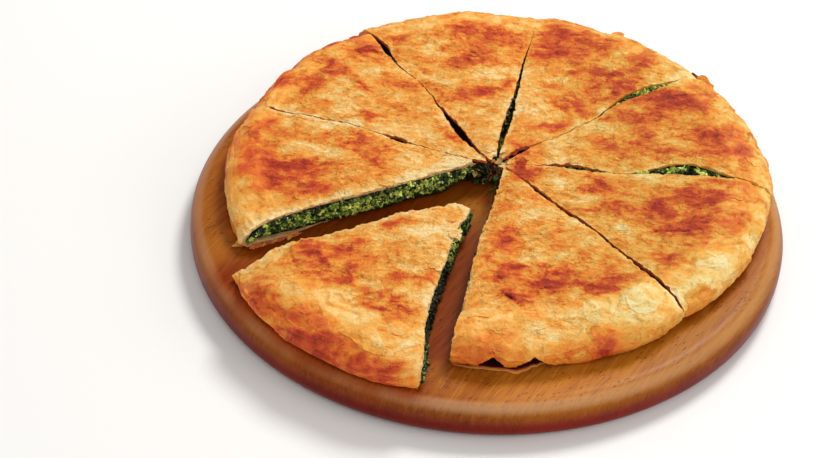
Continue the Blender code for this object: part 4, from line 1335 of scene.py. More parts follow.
def add_sheets(b, piece):
    for who, edge in SHEETS:
        if who != piece:
            continue
        at = np.linspace(edge[0][0], edge[-1][0], int(abs(edge[-1][0] - edge[0][0]) * 6) + 1)
        r = np.interp(at, [e[0] for e in edge], [e[1] for e in edge]) + 0.5 * noise(at * 1.1, 0.5, 0.5, 821)
        az = np.radians(at)
        upper, lower = [], []
        end = 0.45 + 0.6 * noise(at * 0.5, 0.5, 0.5, 823)
        # the rows that run in under the foot are painted near black, as shade under the crust
        for share, lift, bake in ((0.0, 1.1, 1.5), (0.6, 0.8, 1.5), (0.80, 0.5 * (0.8 + end), 1.35), (0.90, 0.25 * 0.8 + 0.75 * end, 0.62), (1.0, end, 0.46)):
            rr = 129.0 + share * (r - 129.0)
            for thick, rows in ((0.22, upper), (-0.22, lower)):
                z = BOARD_T + np.maximum(lift + thick, 0.12 if thick < 0 else 0.5) + 0 * rr
                rows.append(b.add(np.stack([PIE_X + rr * np.cos(az), PIE_Y + rr * np.sin(az), z], -1),
                                  bake=bake, leaf=0.0, dough=0.14 * (share > 0.85), calm=0.8))
        chain = upper + lower[::-1] + upper[:1]
        for one, two in zip(chain[:-1], chain[1:]):
            b.tri(strip(one, two))
        for i, flip in ((0, True), (-1, False)):
            ring = [row[i] for row in chain[:-1]]
            b.tri([(ring[0], ring[k], ring[k + 1]) for k in range(1, len(ring) - 1)], flip=not flip)


def add_loose_bits(b, piece):
    """Flakes, crumbs and strings at the middle of the pie and at the torn corners."""
    rng = np.random.default_rng(8100 + int(piece[-1]))
    if piece == "slice_2":
        plate(b, piece, (-10.9, 0.2, 11.4), (-0.15, -0.82, 0.50), (0.10, 0.50, 0.85), 4.9, 3.2, 0.4, 0.10, 3,
              bake=0.16, leaf=0.0, dough=0.3, calm=0.4)
        plate(b, piece, (-13.2, -0.6, 14.6), (-0.3, -0.5, 0.8), (0.9, -0.2, 0.3), 2.8, 1.5, 0.4, -0.15, 5,
              bake=0.25, leaf=0.0, dough=0.3, calm=0.4)
        plate(b, piece, (-8.2, -0.4, 12.6), (-0.1, -0.75, 0.65), (0.3, 0.4, 0.85), 3.4, 2.1, 0.35, 0.12, 6,
              bake=0.14, leaf=0.0, dough=0.35, calm=0.4)
    if piece == "slice_3":
        for i in range(30):
            x, y = rng.uniform(-10.5, 3.5), rng.uniform(-2.8, 1.6)
            z = rng.uniform(0.6, 14.5)
            size = rng.uniform(0.5, 1.7)
            plate(b, piece, (x, y, z), rng.normal(size=3) + (0, -0.6, 0.5), rng.normal(size=3), size, size * rng.uniform(0.35, 0.8),
                  0.3, rng.uniform(-0.3, 0.3), 40 + i, bake=0.1 if i % 4 == 0 else rng.uniform(1.15, 1.5), leaf=0.0,
                  dough=0.6 if i % 4 == 0 else rng.uniform(0.0, 0.2), calm=0.2)
        for i in range(16):
            x, y, z = rng.uniform(-9.5, 3.0), rng.uniform(-2.4, -0.4), rng.uniform(9.0, 15.0)
            knots = [(x, y, z)]
            for _ in range(4):
                x, y, z = x + rng.normal(0, 1.3), y + rng.normal(-0.1, 0.5), z - rng.uniform(0.2, 2.6)
                knots.append((x, y, max(z, 0.4)))
            thread(b, piece, knots, rng.uniform(0.14, 0.26), bake=rng.uniform(0.5, 1.1), leaf=0.0, dough=rng.uniform(0.1, 0.6), calm=0.3)
    if piece == "slice_4":
        plate(b, piece, (1.6, 1.2, 14.6), (0.1, -0.75, 0.65), (0.95, 0.1, 0.1), 3.4, 1.5, 0.4, -0.12, 11,
              bake=0.30, leaf=0.0, dough=0.3, calm=0.3)
        plate(b, piece, (-3.0, 0.2, 15.4), (0.0, -0.5, 0.85), (0.9, 0.0, 0.3), 2.2, 1.0, 0.35, 0.2, 12,
              bake=0.75, leaf=0.0, dough=0.1, calm=0.3)
        # curled dark flake outside the cut
        plate(b, piece, (106.0, 91.0, 9.6), (0.35, -0.62, 0.70), (0.80, -0.6, 0.1), 3.0, 1.8, 0.4, 0.04, 13,
              bake=1.25, leaf=0.0, dough=0.0, calm=0.3)
    if piece == "slice_5":
        # dark leaves curl out at the cut's outer end
        plate(b, piece, (110.2, 85.0, 10.8), (0.35, -0.62, 0.70), (0.80, -0.55, 0.05), 5.8, 2.8, 0.4, 0.16, 37,
              bake=0.60, leaf=0.0, dough=0.08, calm=0.3)
        plate(b, piece, (112.0, 82.0, 9.0), (0.5, -0.75, 0.35), (0.70, -0.45, -0.35), 4.2, 2.0, 0.4, -0.15, 38,
              bake=0.85, leaf=0.0, dough=0.0, calm=0.3)
        for x, y, z, long, wide, bend, bake, seed in (
            (124.0, 67.6, 8.6, 4.0, 1.4, 0.05, 0.52, 171), (127.0, 61.0, 8.2, 2.2, 1.0, -0.2, 0.60, 172),
            (130.4, 51.8, 8.4, 2.6, 1.1, 0.10, 0.55, 173), (133.4, 39.2, 8.2, 3.4, 1.2, 0.05, 0.50, 174),
            (135.0, 33.6, 7.8, 1.8, 0.9, -0.2, 0.62, 175),
        ):
            away = math.hypot(x, y)
            plate(b, piece, (x, y, z), (0.62 * x / away, 0.62 * y / away, 0.78), (-y / away, x / away, 0.12), long, wide, 0.35, bend, seed,
                  bake=bake, leaf=0.0, dough=0.22, calm=0.4)
        for i in range(10):
            x, y = rng.uniform(5.5, 12.5), rng.uniform(-1.5, 5.5)
            plate(b, piece, (x, y, rng.uniform(15.6, 17.6)), (rng.normal(0, 0.5), rng.normal(0, 0.5), 1), rng.normal(size=3),
                  rng.uniform(0.7, 1.6), rng.uniform(0.4, 0.9), 0.35, rng.uniform(-0.3, 0.3), 140 + i,
                  bake=rng.uniform(0.7, 1.05), leaf=0.0, dough=0.0, calm=0.2)
    if piece == "slice_1":
        # leaves of the lower sheet that curl off the board beside the corner
        for x, y, z, long, wide, bake, seed in (
            (-116.0, -59.0, 1.4, 7.5, 1.6, 0.75, 21), (-108.0, -55.8, 1.9, 6.5, 1.4, 0.85, 22),
            (-100.5, -52.0, 2.4, 6.0, 1.2, 0.70, 23), (-124.5, -59.0, 1.2, 5.5, 1.8, 0.40, 24),
        ):
            plate(b, piece, (x, y, z), (0.35, -0.65, 0.75), (-0.89, -0.45, 0.05), long, wide, 0.35, 0.06, seed,
                  bake=bake, leaf=0.0, dough=0.1, calm=0.4)
        for i in range(14):
            r, out = rng.uniform(112, 137), rng.uniform(-0.4, 2.4)
            az = math.radians(207.0)
            x, y = r * math.cos(az) + out * math.sin(-az) * -1, r * math.sin(az) - out * 0.89
            plate(b, piece, (x, y, rng.uniform(0.4, 2.2)), (0.2, -0.6, 0.8), (-0.89, -0.45, 0.05) + rng.normal(0, 0.3, 3),
                  rng.uniform(0.8, 2.4), rng.uniform(0.4, 1.0), 0.35, rng.uniform(-0.2, 0.2), 160 + i,
                  bake=rng.uniform(0.35, 0.9), leaf=0.0, dough=rng.uniform(0.0, 0.3), calm=0.4)
    if piece == "slice_7":
        plate(b, piece, (4.4, -4.6, 16.2), (-0.2, -0.3, 0.9), (0.9, -0.3, 0.0), 3.2, 1.6, 0.4, 0.1, 31,
              bake=0.15, leaf=0.0, dough=0.4, calm=0.3)


LAYERS = 5


def make_crust(piece):
    first, second, tip, rim, extra, corner, dx, dy = SLICES[piece]
    spacing = 0.72
    reach = PIE_R + extra
    shoulder = reach - rim
    n_top = int((shoulder - tip) / spacing)
    n_rim = int((rim + PIE_H * 0.7) * 0.9 / spacing)
    n_foot, n_under = 7, 70
    stations = [("top", t) for t in np.linspace(0, 1, n_top + 1)]
    stations += [("rim", t) for t in np.linspace(0, 1, n_rim + 1)[1:]]
    stations += [("foot", t) for t in np.linspace(0, 1, n_foot + 1)[1:]]
    stations += [("under", t) for t in np.linspace(0, 1, n_under + 1)[1:]]
    b = Builder()

    def columns(kind, t):
        if kind == "under":
            return 8
        if kind != "top":
            return 152
        r = tip + t * (shoulder - tip)
        return 38 if r < 36 else 76 if r < 74 else 152

    outer, inner, left, right = [], [], [[] for _ in range(LAYERS)], [[] for _ in range(LAYERS)]
    tips = {0: [None] * LAYERS, -1: [None] * LAYERS}
    count = len(stations)
    # outside
    batch = {}
    for i, (kind, t) in enumerate(stations):
        batch.setdefault((kind, columns(kind, t)), []).append((i, t))
    rows = [None] * count
    for (kind, cols), members in batch.items():
        u = np.tile(np.linspace(0, 1, cols + 1), len(members))
        t = np.repeat([m[1] for m in members], cols + 1)
        found = crust_row(piece, kind, t, u)
        for j, (i, _) in enumerate(members):
            s = slice(j * (cols + 1), (j + 1) * (cols + 1))
            rows[i] = [v[s] for v in found]
    for i, (kind, t) in enumerate(stations):
        p, bake, leaf, calm = rows[i]
        outer.append(b.add(p, bake=bake, leaf=leaf, calm=calm, dough=np.full(len(p), 0.0 if kind != "under" else 0.3)))
    for i in range(count - 1):
        b.tri(joined_rows(outer[i], outer[i + 1]))
    # inside
    for i, (kind, t) in enumerate(stations):
        u = np.linspace(0, 1, 9)
        extra_back = [0.35, 0.35]
        if kind in ("top", "rim"):
            probe = section(piece, u, kind, np.full_like(u, t), 1.0)[7]
            extra_back = [0.35, 0.35 + set_back(second, probe)]
        if kind in ("foot", "under"):
            probe = section(piece, u, kind, np.full_like(u, t), 1.0)[7]
            extra_back = [0.35 + foot_recess(first, 1, probe), 0.35 + foot_recess(second, -1, probe) + 0.6 * set_back(second, probe)]
        x, y, z, _, _, az, d, r = section(piece, u, kind, np.full_like(u, t), 1.0, *extra_back)[:8]
        if kind in ("rim", "foot"):
            give = 4.6 * np.clip(np.minimum(u, 1 - u) / 0.12, 0, 1) * (1.0 if kind == "foot" else float(smooth(0.45, 0.8, t)))
            x, y = x - give * np.cos(az), y - give * np.sin(az)
        p = np.stack([PIE_X + dx + x, PIE_Y + dy + y, BOARD_T + z], -1)
        inner.append(b.add(p, bake=0.2, leaf=0.0, dough=1.0, calm=0.0))
    for i in range(count - 1):
        b.tri(strip(inner[i + 1], inner[i]))
    # leaves of the sheet at both cut faces
    for side, cut, column in ((0, first, 0), (1, second, -1)):
        edge_rows = [[o[column] for o in outer]]
        for k in range(1, LAYERS):
            u = np.full(count, float(side))
            pts, probe_of = np.zeros((count, 3)), np.zeros(count)
            for kind in ("top", "rim", "foot", "under"):
                members = [i for i, s in enumerate(stations) if s[0] == kind]
                t = np.array([stations[i][1] for i in members])
                uu = np.full(len(members), float(side))
                share = k / LAYERS
                probe = section(piece, uu, kind, t, share)[7]
                probe_of[members] = probe
                base = ragged(cut, 1 if side == 0 else -1, probe) * (1.0 if kind in ("top", "rim") else 0.6)
                recess = 0.0 if kind in ("top", "rim") else foot_recess(cut, 1 if side == 0 else -1, probe)
                seed = 300 + 13 * k + 40 * side
                loose = 1.0 if cut in OPEN_CUTS else 0.3
                behind = set_back(cut, probe) * (1.0 if kind in ("top", "rim") else 0.6)
                tear = behind + (base - behind) * (0.9 - 0.75 * share) + loose * 0.42 * noise(probe / 2.3, k * 3.3, side + 0.5, seed)
                tear += loose * 0.35 * noise(probe / 6.5, k * 1.7, side + 1.5, seed + 1)
                tear += loose * (0.30 * (k % 2) - 0.1) + recess
                back0 = tear if side == 0 else 0.0
                back1 = tear if side == 1 else 0.0
                x, y, z, nr, nz, az, d, r = section(piece, uu, kind, t, share, back0, back1)[:8]
                lift = 0.0
                if kind in ("top", "rim"):
                    brown, _ = browning(x, y)
                    arc = arc_length(piece, kind, t, r)
                    rr = smooth(-9.0, 2.0, arc) if kind == "top" else np.ones_like(r)
                    h = relief(x, y, z, rr, az, arc, d, brown)[0] - creases(x, y)[0]
                    lift = h * (1 - share)
                x = x + nr * lift * np.cos(az)
                y = y + nr * lift * np.sin(az)
                z = z + nz * lift
                pts[members] = np.stack([PIE_X + dx + x, PIE_Y + dy + y, BOARD_T + np.maximum(z, LIFT * 0.6)], -1)
            tone = 0.45 - 0.3 * (k % 2) + 0.15 * noise(np.arange(count) / 9.0, k, 0.5, 77)
            open_face = cut in OPEN_CUTS
            gape = 1.0 if open_face else np.clip(cut_gap(cut, probe_of) / 0.8, 0, 1)
            light = 0.44 * smooth(66, 80, probe_of) if cut in ("d", "e") else 0.0
            # in the closed cuts the faces are painted browner and darker, as shade down in the cut, the more where it
            # gapes
            tone = tone if open_face else 0.36 + gape * (tone * 0.3 + 0.50 - light)
            pale = min(1.0, 0.25 + 0.3 * k) if open_face else 0.12
            # on slice 1's open face the lip gets darker patches, painted shade where it overhangs the filling
            if cut == "h" and k >= 2:
                patchy = smooth(0.05, 0.35, noise(probe_of / 5.0, k * 0.8, 0.5, 79))
                tone, pale = tone + 0.5 * patchy, pale * (1 - 0.6 * patchy)
            edge_rows.append(b.add(pts, bake=tone, leaf=np.zeros(count), dough=np.zeros(count) + pale, calm=0.0))
        edge_rows.append([q[column] for q in inner])
        for k in range(LAYERS):
            upper, lower = np.array(edge_rows[k]), np.array(edge_rows[k + 1])
            b.tri(strip(upper, lower), flip=side == 1)
        (left if side == 0 else right)[:] = edge_rows
    # the broken tip, above and below
    for end in (0, -1):
        o, q = outer[end], inner[end]
        cols = len(o)
        edge_rows = [o]
        for k in range(1, LAYERS):
            u = np.linspace(0, 1, cols)
            share = k / LAYERS
            kind, t = stations[end]
            x, y, z, _, _, az, d, r = section(piece, u, kind, np.full(cols, t), share)[:8]
            pull = 0.5 * noise(u * 5 + 3 * k, share * 4, end + 0.5, 91) - 0.4 * (k % 2)
            x, y = x + pull * np.cos(az), y + pull * np.sin(az)
            mid = b.add(
                np.stack([PIE_X + dx + x, PIE_Y + dy + y, BOARD_T + z], -1)[1:-1],
                bake=0.45 - 0.3 * (k % 2), leaf=0.0, dough=min(1.0, 0.25 + 0.3 * k), calm=0.0,
            )
            edge_rows.append(np.concatenate([[left[k][end]], mid, [right[k][end]]]))
        edge_rows.append(q)
        for k in range(LAYERS):
            b.tri(joined_rows(edge_rows[k + 1], edge_rows[k]), flip=end == -1)
    add_leaves(b, piece)
    add_sheets(b, piece)
    add_loose_bits(b, piece)
    obj = make_object(piece + "_crust", *b.arrays(), PASTRY, sharp=58)
    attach(obj, "root")
    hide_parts(piece + "_pastry")
    return obj


# ============================================================================
# Filling: a core with rough faces, and chopped leaves, stalks and cheese on it
# ============================================================================
# chopped spinach from deep to yellow-green, and cheese
GREENS = (
    (srgb(30, 50, 20), 0.24), (srgb(64, 92, 30), 0.20), (srgb(104, 132, 44), 0.20),
    (srgb(158, 176, 62), 0.20), (srgb(204, 212, 92), 0.16),
)
CHEESES = (srgb(238, 238, 176), srgb(216, 222, 112))
# how bright the filling is painted in each slice: on slice 1's open face brighter, painted light; on slice 8's deep
# face and elsewhere darker, painted shade
FILLING_LIGHT_AND_SHADE = {"slice_1": 1.25, "slice_8": 0.55}


def shred_shapes(rng, nx=5, ny=4):
    """Bent scraps of leaf: closed sheets of nx by ny points a side."""
    shapes = []
    for _ in range(14):
        a, c = np.meshgrid(np.linspace(-1, 1, nx), np.linspace(-1, 1, ny), indexing="ij")
        wide = rng.uniform(0.45, 0.85)
        taper = 1 - rng.uniform(0.1, 0.5) * a**2
        x = a + rng.uniform(-0.12, 0.12, a.shape)
        y = c * wide * taper + rng.uniform(-0.12, 0.12, a.shape)
        bend, twist = rng.uniform(-0.8, 0.8), rng.uniform(-0.7, 0.7)
        z = bend * a**2 + twist * a * c * 0.6 + rng.uniform(-0.16, 0.16, a.shape)
        top = np.stack([x, y, z + 0.13], -1).reshape(-1, 3)
        bottom = np.stack([x, y, z - 0.13], -1).reshape(-1, 3)
        index = np.arange(nx * ny).reshape(nx, ny)
        faces = []
        for i in range(nx - 1):
            faces.append(strip(index[i], index[i + 1]))
            faces.append(strip(index[i], index[i + 1])[:, ::-1] + nx * ny)
        rim = np.concatenate([index[:, 0], index[-1, 1:], index[::-1, -1][1:], index[0, ::-1][1:]])
        faces.append(strip(rim, rim + nx * ny)[:, ::-1])
        shapes.append((np.concatenate([top, bottom]), np.concatenate(faces)))
    return shapes


def crumb_shapes(rng):
    """Small lumps of cheese: a sphere of few faces, pushed about."""
    g = (1 + 5**0.5) / 2
    v = np.array([(-1, g, 0), (1, g, 0), (-1, -g, 0), (1, -g, 0), (0, -1, g), (0, 1, g),
                  (0, -1, -g), (0, 1, -g), (g, 0, -1), (g, 0, 1), (-g, 0, -1), (-g, 0, 1)], float)
    v /= np.linalg.norm(v[0])
    f = np.array([(0, 11, 5), (0, 5, 1), (0, 1, 7), (0, 7, 10), (0, 10, 11), (1, 5, 9), (5, 11, 4),
                  (11, 10, 2), (10, 7, 6), (7, 1, 8), (3, 9, 4), (3, 4, 2), (3, 2, 6), (3, 6, 8),
                  (3, 8, 9), (4, 9, 5), (2, 4, 11), (6, 2, 10), (8, 6, 7), (9, 8, 1)])
    points, cache, faces = list(map(tuple, v)), {}, []
    few = [(v * (1 + rng.uniform(-0.3, 0.35, (12, 1))) * rng.uniform(0.5, 1.0, 3), f) for _ in range(12)]

    def middle(i, j):
        key = (min(i, j), max(i, j))
        if key not in cache:
            m = (np.array(points[i]) + np.array(points[j])) / 2
            points.append(tuple(m / np.linalg.norm(m)))
            cache[key] = len(points) - 1
        return cache[key]

    for i, j, k in f:
        a, c, d = middle(i, j), middle(j, k), middle(k, i)
        faces += [(i, a, d), (j, c, a), (k, d, c), (a, c, d)]
    base, faces = np.array(points), np.array(faces)
    shapes = []
    for s in range(12):
        lumps = noise(base[:, 0] * 1.5 + 9 * s, base[:, 1] * 1.5, base[:, 2] * 1.5, 60)
        lumps = lumps + 0.6 * noise(base[:, 0] * 3.1 + 9 * s, base[:, 1] * 3.1, base[:, 2] * 3.1, 61)
        q = base * (1 + 0.75 * lumps[:, None])
        shapes.append((q * rng.uniform(0.45, 1.0, 3), faces))
    return shapes, few


def stalk_shapes(rng):
    shapes = []
    for _ in range(5):
        n, sides = 6, 5
        t = np.linspace(-1, 1, n)
        bend = rng.uniform(-0.7, 0.7)
        centre = np.stack([t, bend * t**2, 0.2 * np.sin(3 * t + rng.uniform(0, 6))], -1)
        ring = np.arange(sides) * 2 * np.pi / sides
        rows, pts = [], []
        for i in range(n):
            radius = 0.15 * (1.15 - 0.35 * abs(t[i]))
            pts.append(centre[i] + radius * np.stack([0 * ring, np.cos(ring), np.sin(ring)], -1))
            rows.append(np.append(np.arange(sides), 0) + i * sides)
        faces = [strip(rows[i], rows[i + 1])[:, ::-1] for i in range(n - 1)]
        for end, flip in ((0, False), (n - 1, True)):
            r = rows[end][:-1]
            cap = np.array([(r[0], r[k + 1], r[k]) for k in range(1, sides - 1)])
            faces.append(cap[:, ::-1] if flip else cap)
        shapes.append((np.concatenate(pts), np.concatenate(faces)))
    return shapes


SHAPE_RNG = np.random.default_rng(5)
SHREDS, STALKS = shred_shapes(SHAPE_RNG), stalk_shapes(SHAPE_RNG)
CRUMBS, SMALL_CRUMBS = crumb_shapes(SHAPE_RNG)
SMALL_SHREDS = shred_shapes(SHAPE_RNG, 3, 3)


def random_turns(rng, n):
    q = rng.normal(size=(n, 4))
    q /= np.linalg.norm(q, axis=1)[:, None]
    w, x, y, z = q.T
    return np.stack([
        np.stack([1 - 2 * (y * y + z * z), 2 * (x * y - z * w), 2 * (x * z + y * w)], -1),
        np.stack([2 * (x * y + z * w), 1 - 2 * (x * x + z * z), 2 * (y * z - x * w)], -1),
        np.stack([2 * (x * z - y * w), 2 * (y * z + x * w), 1 - 2 * (x * x + y * y)], -1),
    ], 1)


def scatter(b, rng, places, sizes, bright=0.0, cheese=0.09, floor=None, clump=None, shade=1.0):
    """Adds one scrap at each place. bright shifts the greens from deep to yellow, for all or for each."""
    shade = np.broadcast_to(shade, (len(places),))
    n = len(places)
    turns = random_turns(rng, n)
    kinds = rng.random(n)
    order = np.cumsum([w for _, w in GREENS])
    pick = rng.random(n) + bright
    if clump is not None:
        pick = pick + clump
    for i in range(n):
        if kinds[i] < cheese:
            shape = SMALL_CRUMBS[rng.integers(len(CRUMBS))]
            colour = np.array(CHEESES[int(rng.random() < 0.6)])
            size = sizes[i] * 0.5
        elif kinds[i] < cheese + 0.04:
            shape = STALKS[rng.integers(len(STALKS))]
            colour = np.array(srgb(158, 176, 84))
            size = sizes[i] * 0.9
        else:
            k = int(np.searchsorted(order, min(max(pick[i], 0.0), 0.999)))
            colour = np.array(GREENS[min(k, len(GREENS) - 1)][0])
            small = sizes[i] < 1.7
            if rng.random() < 0.5:
                shape = (SMALL_CRUMBS if small else CRUMBS)[rng.integers(len(CRUMBS))]
                size = sizes[i] * 0.5
            else:
                shape = (SMALL_SHREDS if small else SHREDS)[rng.integers(len(SHREDS))]
                size = sizes[i] * 0.68
        p = (shape[0] * size) @ turns[i].T + places[i]
        if floor is not None:
            p[:, 2] = np.maximum(p[:, 2], floor)
        colour = np.clip(colour * rng.uniform(0.8, 1.2) * shade[i], 0, 0.92)
        ids = b.add(p, tint=np.tile(colour.astype(np.float32), (len(p), 1)))
        b.tri(shape[1] + ids[0])


def wall(piece, side, r, share, out=0.0):
    """World points of the filling's face. share is 0 at its foot and 1 at its top, out is outward from the slice."""
    first, second, tip, rim, extra, corner, dx, dy = SLICES[piece]
    u = np.full_like(r, float(side))
    cut = (first, second)[side]
    reach = reach_of(piece, u)
    shoulder = reach - rim
    x, y, az, d = place(piece, u, np.minimum(r, shoulder))
    crest = top_height(piece, x, y, d, np.minimum(r, shoulder), u) - TOP_SHEET - 0.2
    low = LIFT + LOW_SHEET + 0.2 + curled(piece, (0 * r, 0 * r) if side == 1 else (0 * r, 0 * r + 99.0), r)
    low = low + thickened(piece, (0 * r, 0 * r) if side == 1 else (0 * r, 0 * r + 99.0), r)
    over = np.clip((r - shoulder) / (rim - THIN_RIMS.get(piece, RIM_SHEET)), 0, 1)
    waist = np.maximum(LIFT + RIM_FULL * PIE_H, low + 0.4)
    top = np.where(over > 0, waist + (crest - waist) * np.maximum(np.cos(0.5 * np.pi * over), 0) ** 0.9, crest)
    beside = [np.full_like(r, 99.0), np.full_like(r, 99.0)]
    beside[side] = np.zeros_like(r)
    top = np.maximum(sunk(piece, top, beside, r), low + 0.3)
    if cut in OPEN_CUTS:
        low = np.minimum(low + 0.5 + 0.7 * noise(r / 9.0, 0.5, 0.5, 87), top - 0.2)
    # at the tip the filling has fallen away under the crust
    gone = 1 - smooth(13.0, 33.0, r) if piece == "slice_1" else 0.8 * (1 - smooth(tip, tip + 9.0, r))
    low = low + gone * np.maximum(top - 3.0 - low, 0)
    z = low + share * (top - low)
    az = side_azimuth(cut, r, 1 if side == 0 else -1, 0.25 - out)
    return np.stack([PIE_X + dx + r * np.cos(az), PIE_Y + dy + r * np.sin(az), BOARD_T + z], -1)


def bulge(piece, side, r, share):
    """How far the filling's face stands out of the plain wall."""
    cut = SLICES[piece][side]
    seed = 400 + 9 * sorted(CUTS).index(cut) + side
    rough = 0.75 * noise(r / 3.4, share * 4.5, 0.5, seed) + 0.45 * noise(r / 1.7, share * 8.5, 3.5, seed + 1)
    if cut not in OPEN_CUTS:
        gap = cut_gap(cut, r)
        return rough * np.minimum(0.9, gap * 0.2) - 0.15
    swell = 0.7 * noise(r / 19.0, 0.5, 2.5, seed + 2)
    if cut == "h":
        swell = swell + 1.6 * np.exp(-(((r - 76) / 9.0) ** 2)) * (1.1 - share) + 0.5
        # undercut at the foot
        swell = swell - 4.2 * np.clip(1 - share / 0.36, 0, 1) ** 1.3
    if cut == "pulled_right":
        swell = swell - set_back(cut, r) + 0.3 - 1.0 * np.clip(1 - share / 0.3, 0, 1)
    if cut in ("g", "pulled_left"):
        swell = swell - 1.2
    return rough + swell + 0.3


def make_filling(piece):
    first, second, tip, rim, extra, corner, dx, dy = SLICES[piece]
    rng = np.random.default_rng(1000 + int(piece[-1]))
    b = Builder()
    ends = [float(reach_of(piece, np.array([s]))[0]) - THIN_RIMS.get(piece, RIM_SHEET) - 0.6 for s in (0.0, 1.0)]
    n_r, n_z = 150, 15
    grids = []
    for side in (0, 1):
        dark = np.array(srgb(*{"f": (112, 56, 24), "b": (52, 24, 10)}.get((first, second)[side], (24, 36, 14))))
        r = np.linspace(tip + 0.6, ends[side], n_r + 1)
        rr, ss = np.meshgrid(r, np.linspace(0, 1, n_z + 1), indexing="ij")
        flat_r, flat_s = rr.ravel(), ss.ravel()
        behind = set_back((first, second)[side], flat_r)
        edge = np.minimum(flat_s, 1 - flat_s) * 6
        out = (bulge(piece, side, flat_r, flat_s) + behind) * np.clip(edge, 0.0, 1.0) - behind
        p = wall(piece, side, flat_r, flat_s, out)
        tone = 0.8 + 0.5 * noise(flat_r / 2.0, flat_s * 7, side * 3.0, 80)
        # slice 8's right face is painted darker along its middle, as shade deep in the cut beside slice 7
        if (first, second)[side] == "pulled_right":
            tone = tone * (1 - 0.8 * smooth(54, 68, flat_r) * (1 - smooth(114, 124, flat_r)))
        tint = np.clip(dark[None, :] * tone[:, None], 0, 1).astype(np.float32)
        grids.append(b.add(p, tint=tint).reshape(n_r + 1, n_z + 1))
    g0, g1 = grids
    for i in range(n_r):
        b.tri(strip(g0[i], g0[i + 1]), flip=True)
        b.tri(strip(g1[i], g1[i + 1]))
    b.tri(strip(g0[:, -1], g1[:, -1]), flip=True)   # top
    b.tri(strip(g0[:, 0], g1[:, 0]))                # underside
    b.tri(strip(g0[0], g1[0]))                      # tip
    b.tri(strip(g0[-1], g1[-1]), flip=True)         # outer end
    # scraps on both faces
    for side, cut in ((0, first), (1, second)):
        open_face = cut in OPEN_CUTS
        n = {"h": 2300, "pulled_right": 1400, "g": 480, "pulled_left": 420, "d": 460, "e": 460, "f": 110, "b": 170}.get(cut, 220)
        r = rng.uniform(tip + 1.0, ends[side] - 0.3, n)
        if cut in ("d", "e"):
            r[:300] = rng.normal(98, 13, 300).clip(72, 122)
        s = rng.uniform(0.0, 0.55 if cut in ("f", "b") else 1.0, n)
        sizes = rng.uniform(0.9, 2.5, n) if open_face else rng.uniform(0.8, 1.9, n)
        clump = 1.25 * noise(r / 2.6, s * 4.5, side + 0.5, 85) + 0.6 * noise(r / 14.0, s, side + 2.5, 86)
        out = bulge(piece, side, r, s) + rng.uniform(-0.3, 0.45, n) * (1.0 if open_face else 0.5)
        shade = FILLING_LIGHT_AND_SHADE.get(piece, 0.6) * np.ones(n)
        # scraps in the narrow cuts f and b are darker, painted shade
        if cut in ("f", "b"):
            shade = shade * 0.35
        if cut == "h":
            clump = clump + 0.05
            # painted shade on the filling at the undercut foot, and in patches under the crust's lip
            shade = shade * (1 - 0.75 * np.clip(1 - s / 0.34, 0, 1))
            shade = shade * (1 - 0.85 * smooth(0.70, 0.95, s) * smooth(-0.15, 0.25, noise(r / 5.5, 0.5, 4.5, 89)))
        if cut == "pulled_right":
            # the scraps on slice 8's right face are painted darker along its middle and at its foot, as shade deep in
            # the cut, and brighter nearer the tip
            shade = shade * (1 + 0.9 * (1 - smooth(44, 60, r)) * smooth(20, 28, r)) * (1 - 0.90 * smooth(52, 68, r) * (1 - smooth(112, 124, r)))
            shade = shade * (1 - 0.8 * np.clip(1 - s / 0.5, 0, 1))
        scatter(b, rng, wall(piece, side, r, s, out), sizes, floor=BOARD_T + 0.1, clump=clump, shade=shade)
        if cut == "pulled_right":
            n = 460
            r = rng.uniform(20.0, 132.0, n)
            back = set_back(cut, r) + rng.uniform(-0.5, 2.2, n)
            q = wall(piece, side, r, np.ones(n), -back)
            q[:, 2] -= 0.35 + rng.uniform(0.0, 0.5, n)
            # painted shade along the middle of slice 8's right face
            shade = 1.15 - 1.05 * smooth(54, 68, r) * (1 - smooth(114, 124, r))
            clump = 1.3 * noise(r / 2.6, back / 2.0, 3.5, 84) + 0.05
            scatter(b, rng, q, rng.uniform(1.0, 2.3, n), floor=BOARD_T + 0.1, clump=clump, shade=shade)
    # scraps at the tip, painted dark as the shade in the pie's middle
    n = 60
    u = rng.uniform(0, 1, n)
    r = np.full(n, tip + 0.8) + rng.uniform(-0.9, 0.6, n)
    x, y, az, d = place(piece, u, r)
    z = rng.uniform(11.5 if piece == "slice_1" else LIFT + 4.0, PIE_H - TOP_SHEET - 2.2, n)
    places = np.stack([PIE_X + dx + x, PIE_Y + dy + y, BOARD_T + z], -1)
    scatter(b, rng, places, rng.uniform(1.2, 2.4, n), bright=-0.35, cheese=0.02, floor=BOARD_T + 0.1, shade=0.22)
    if piece == "slice_5":
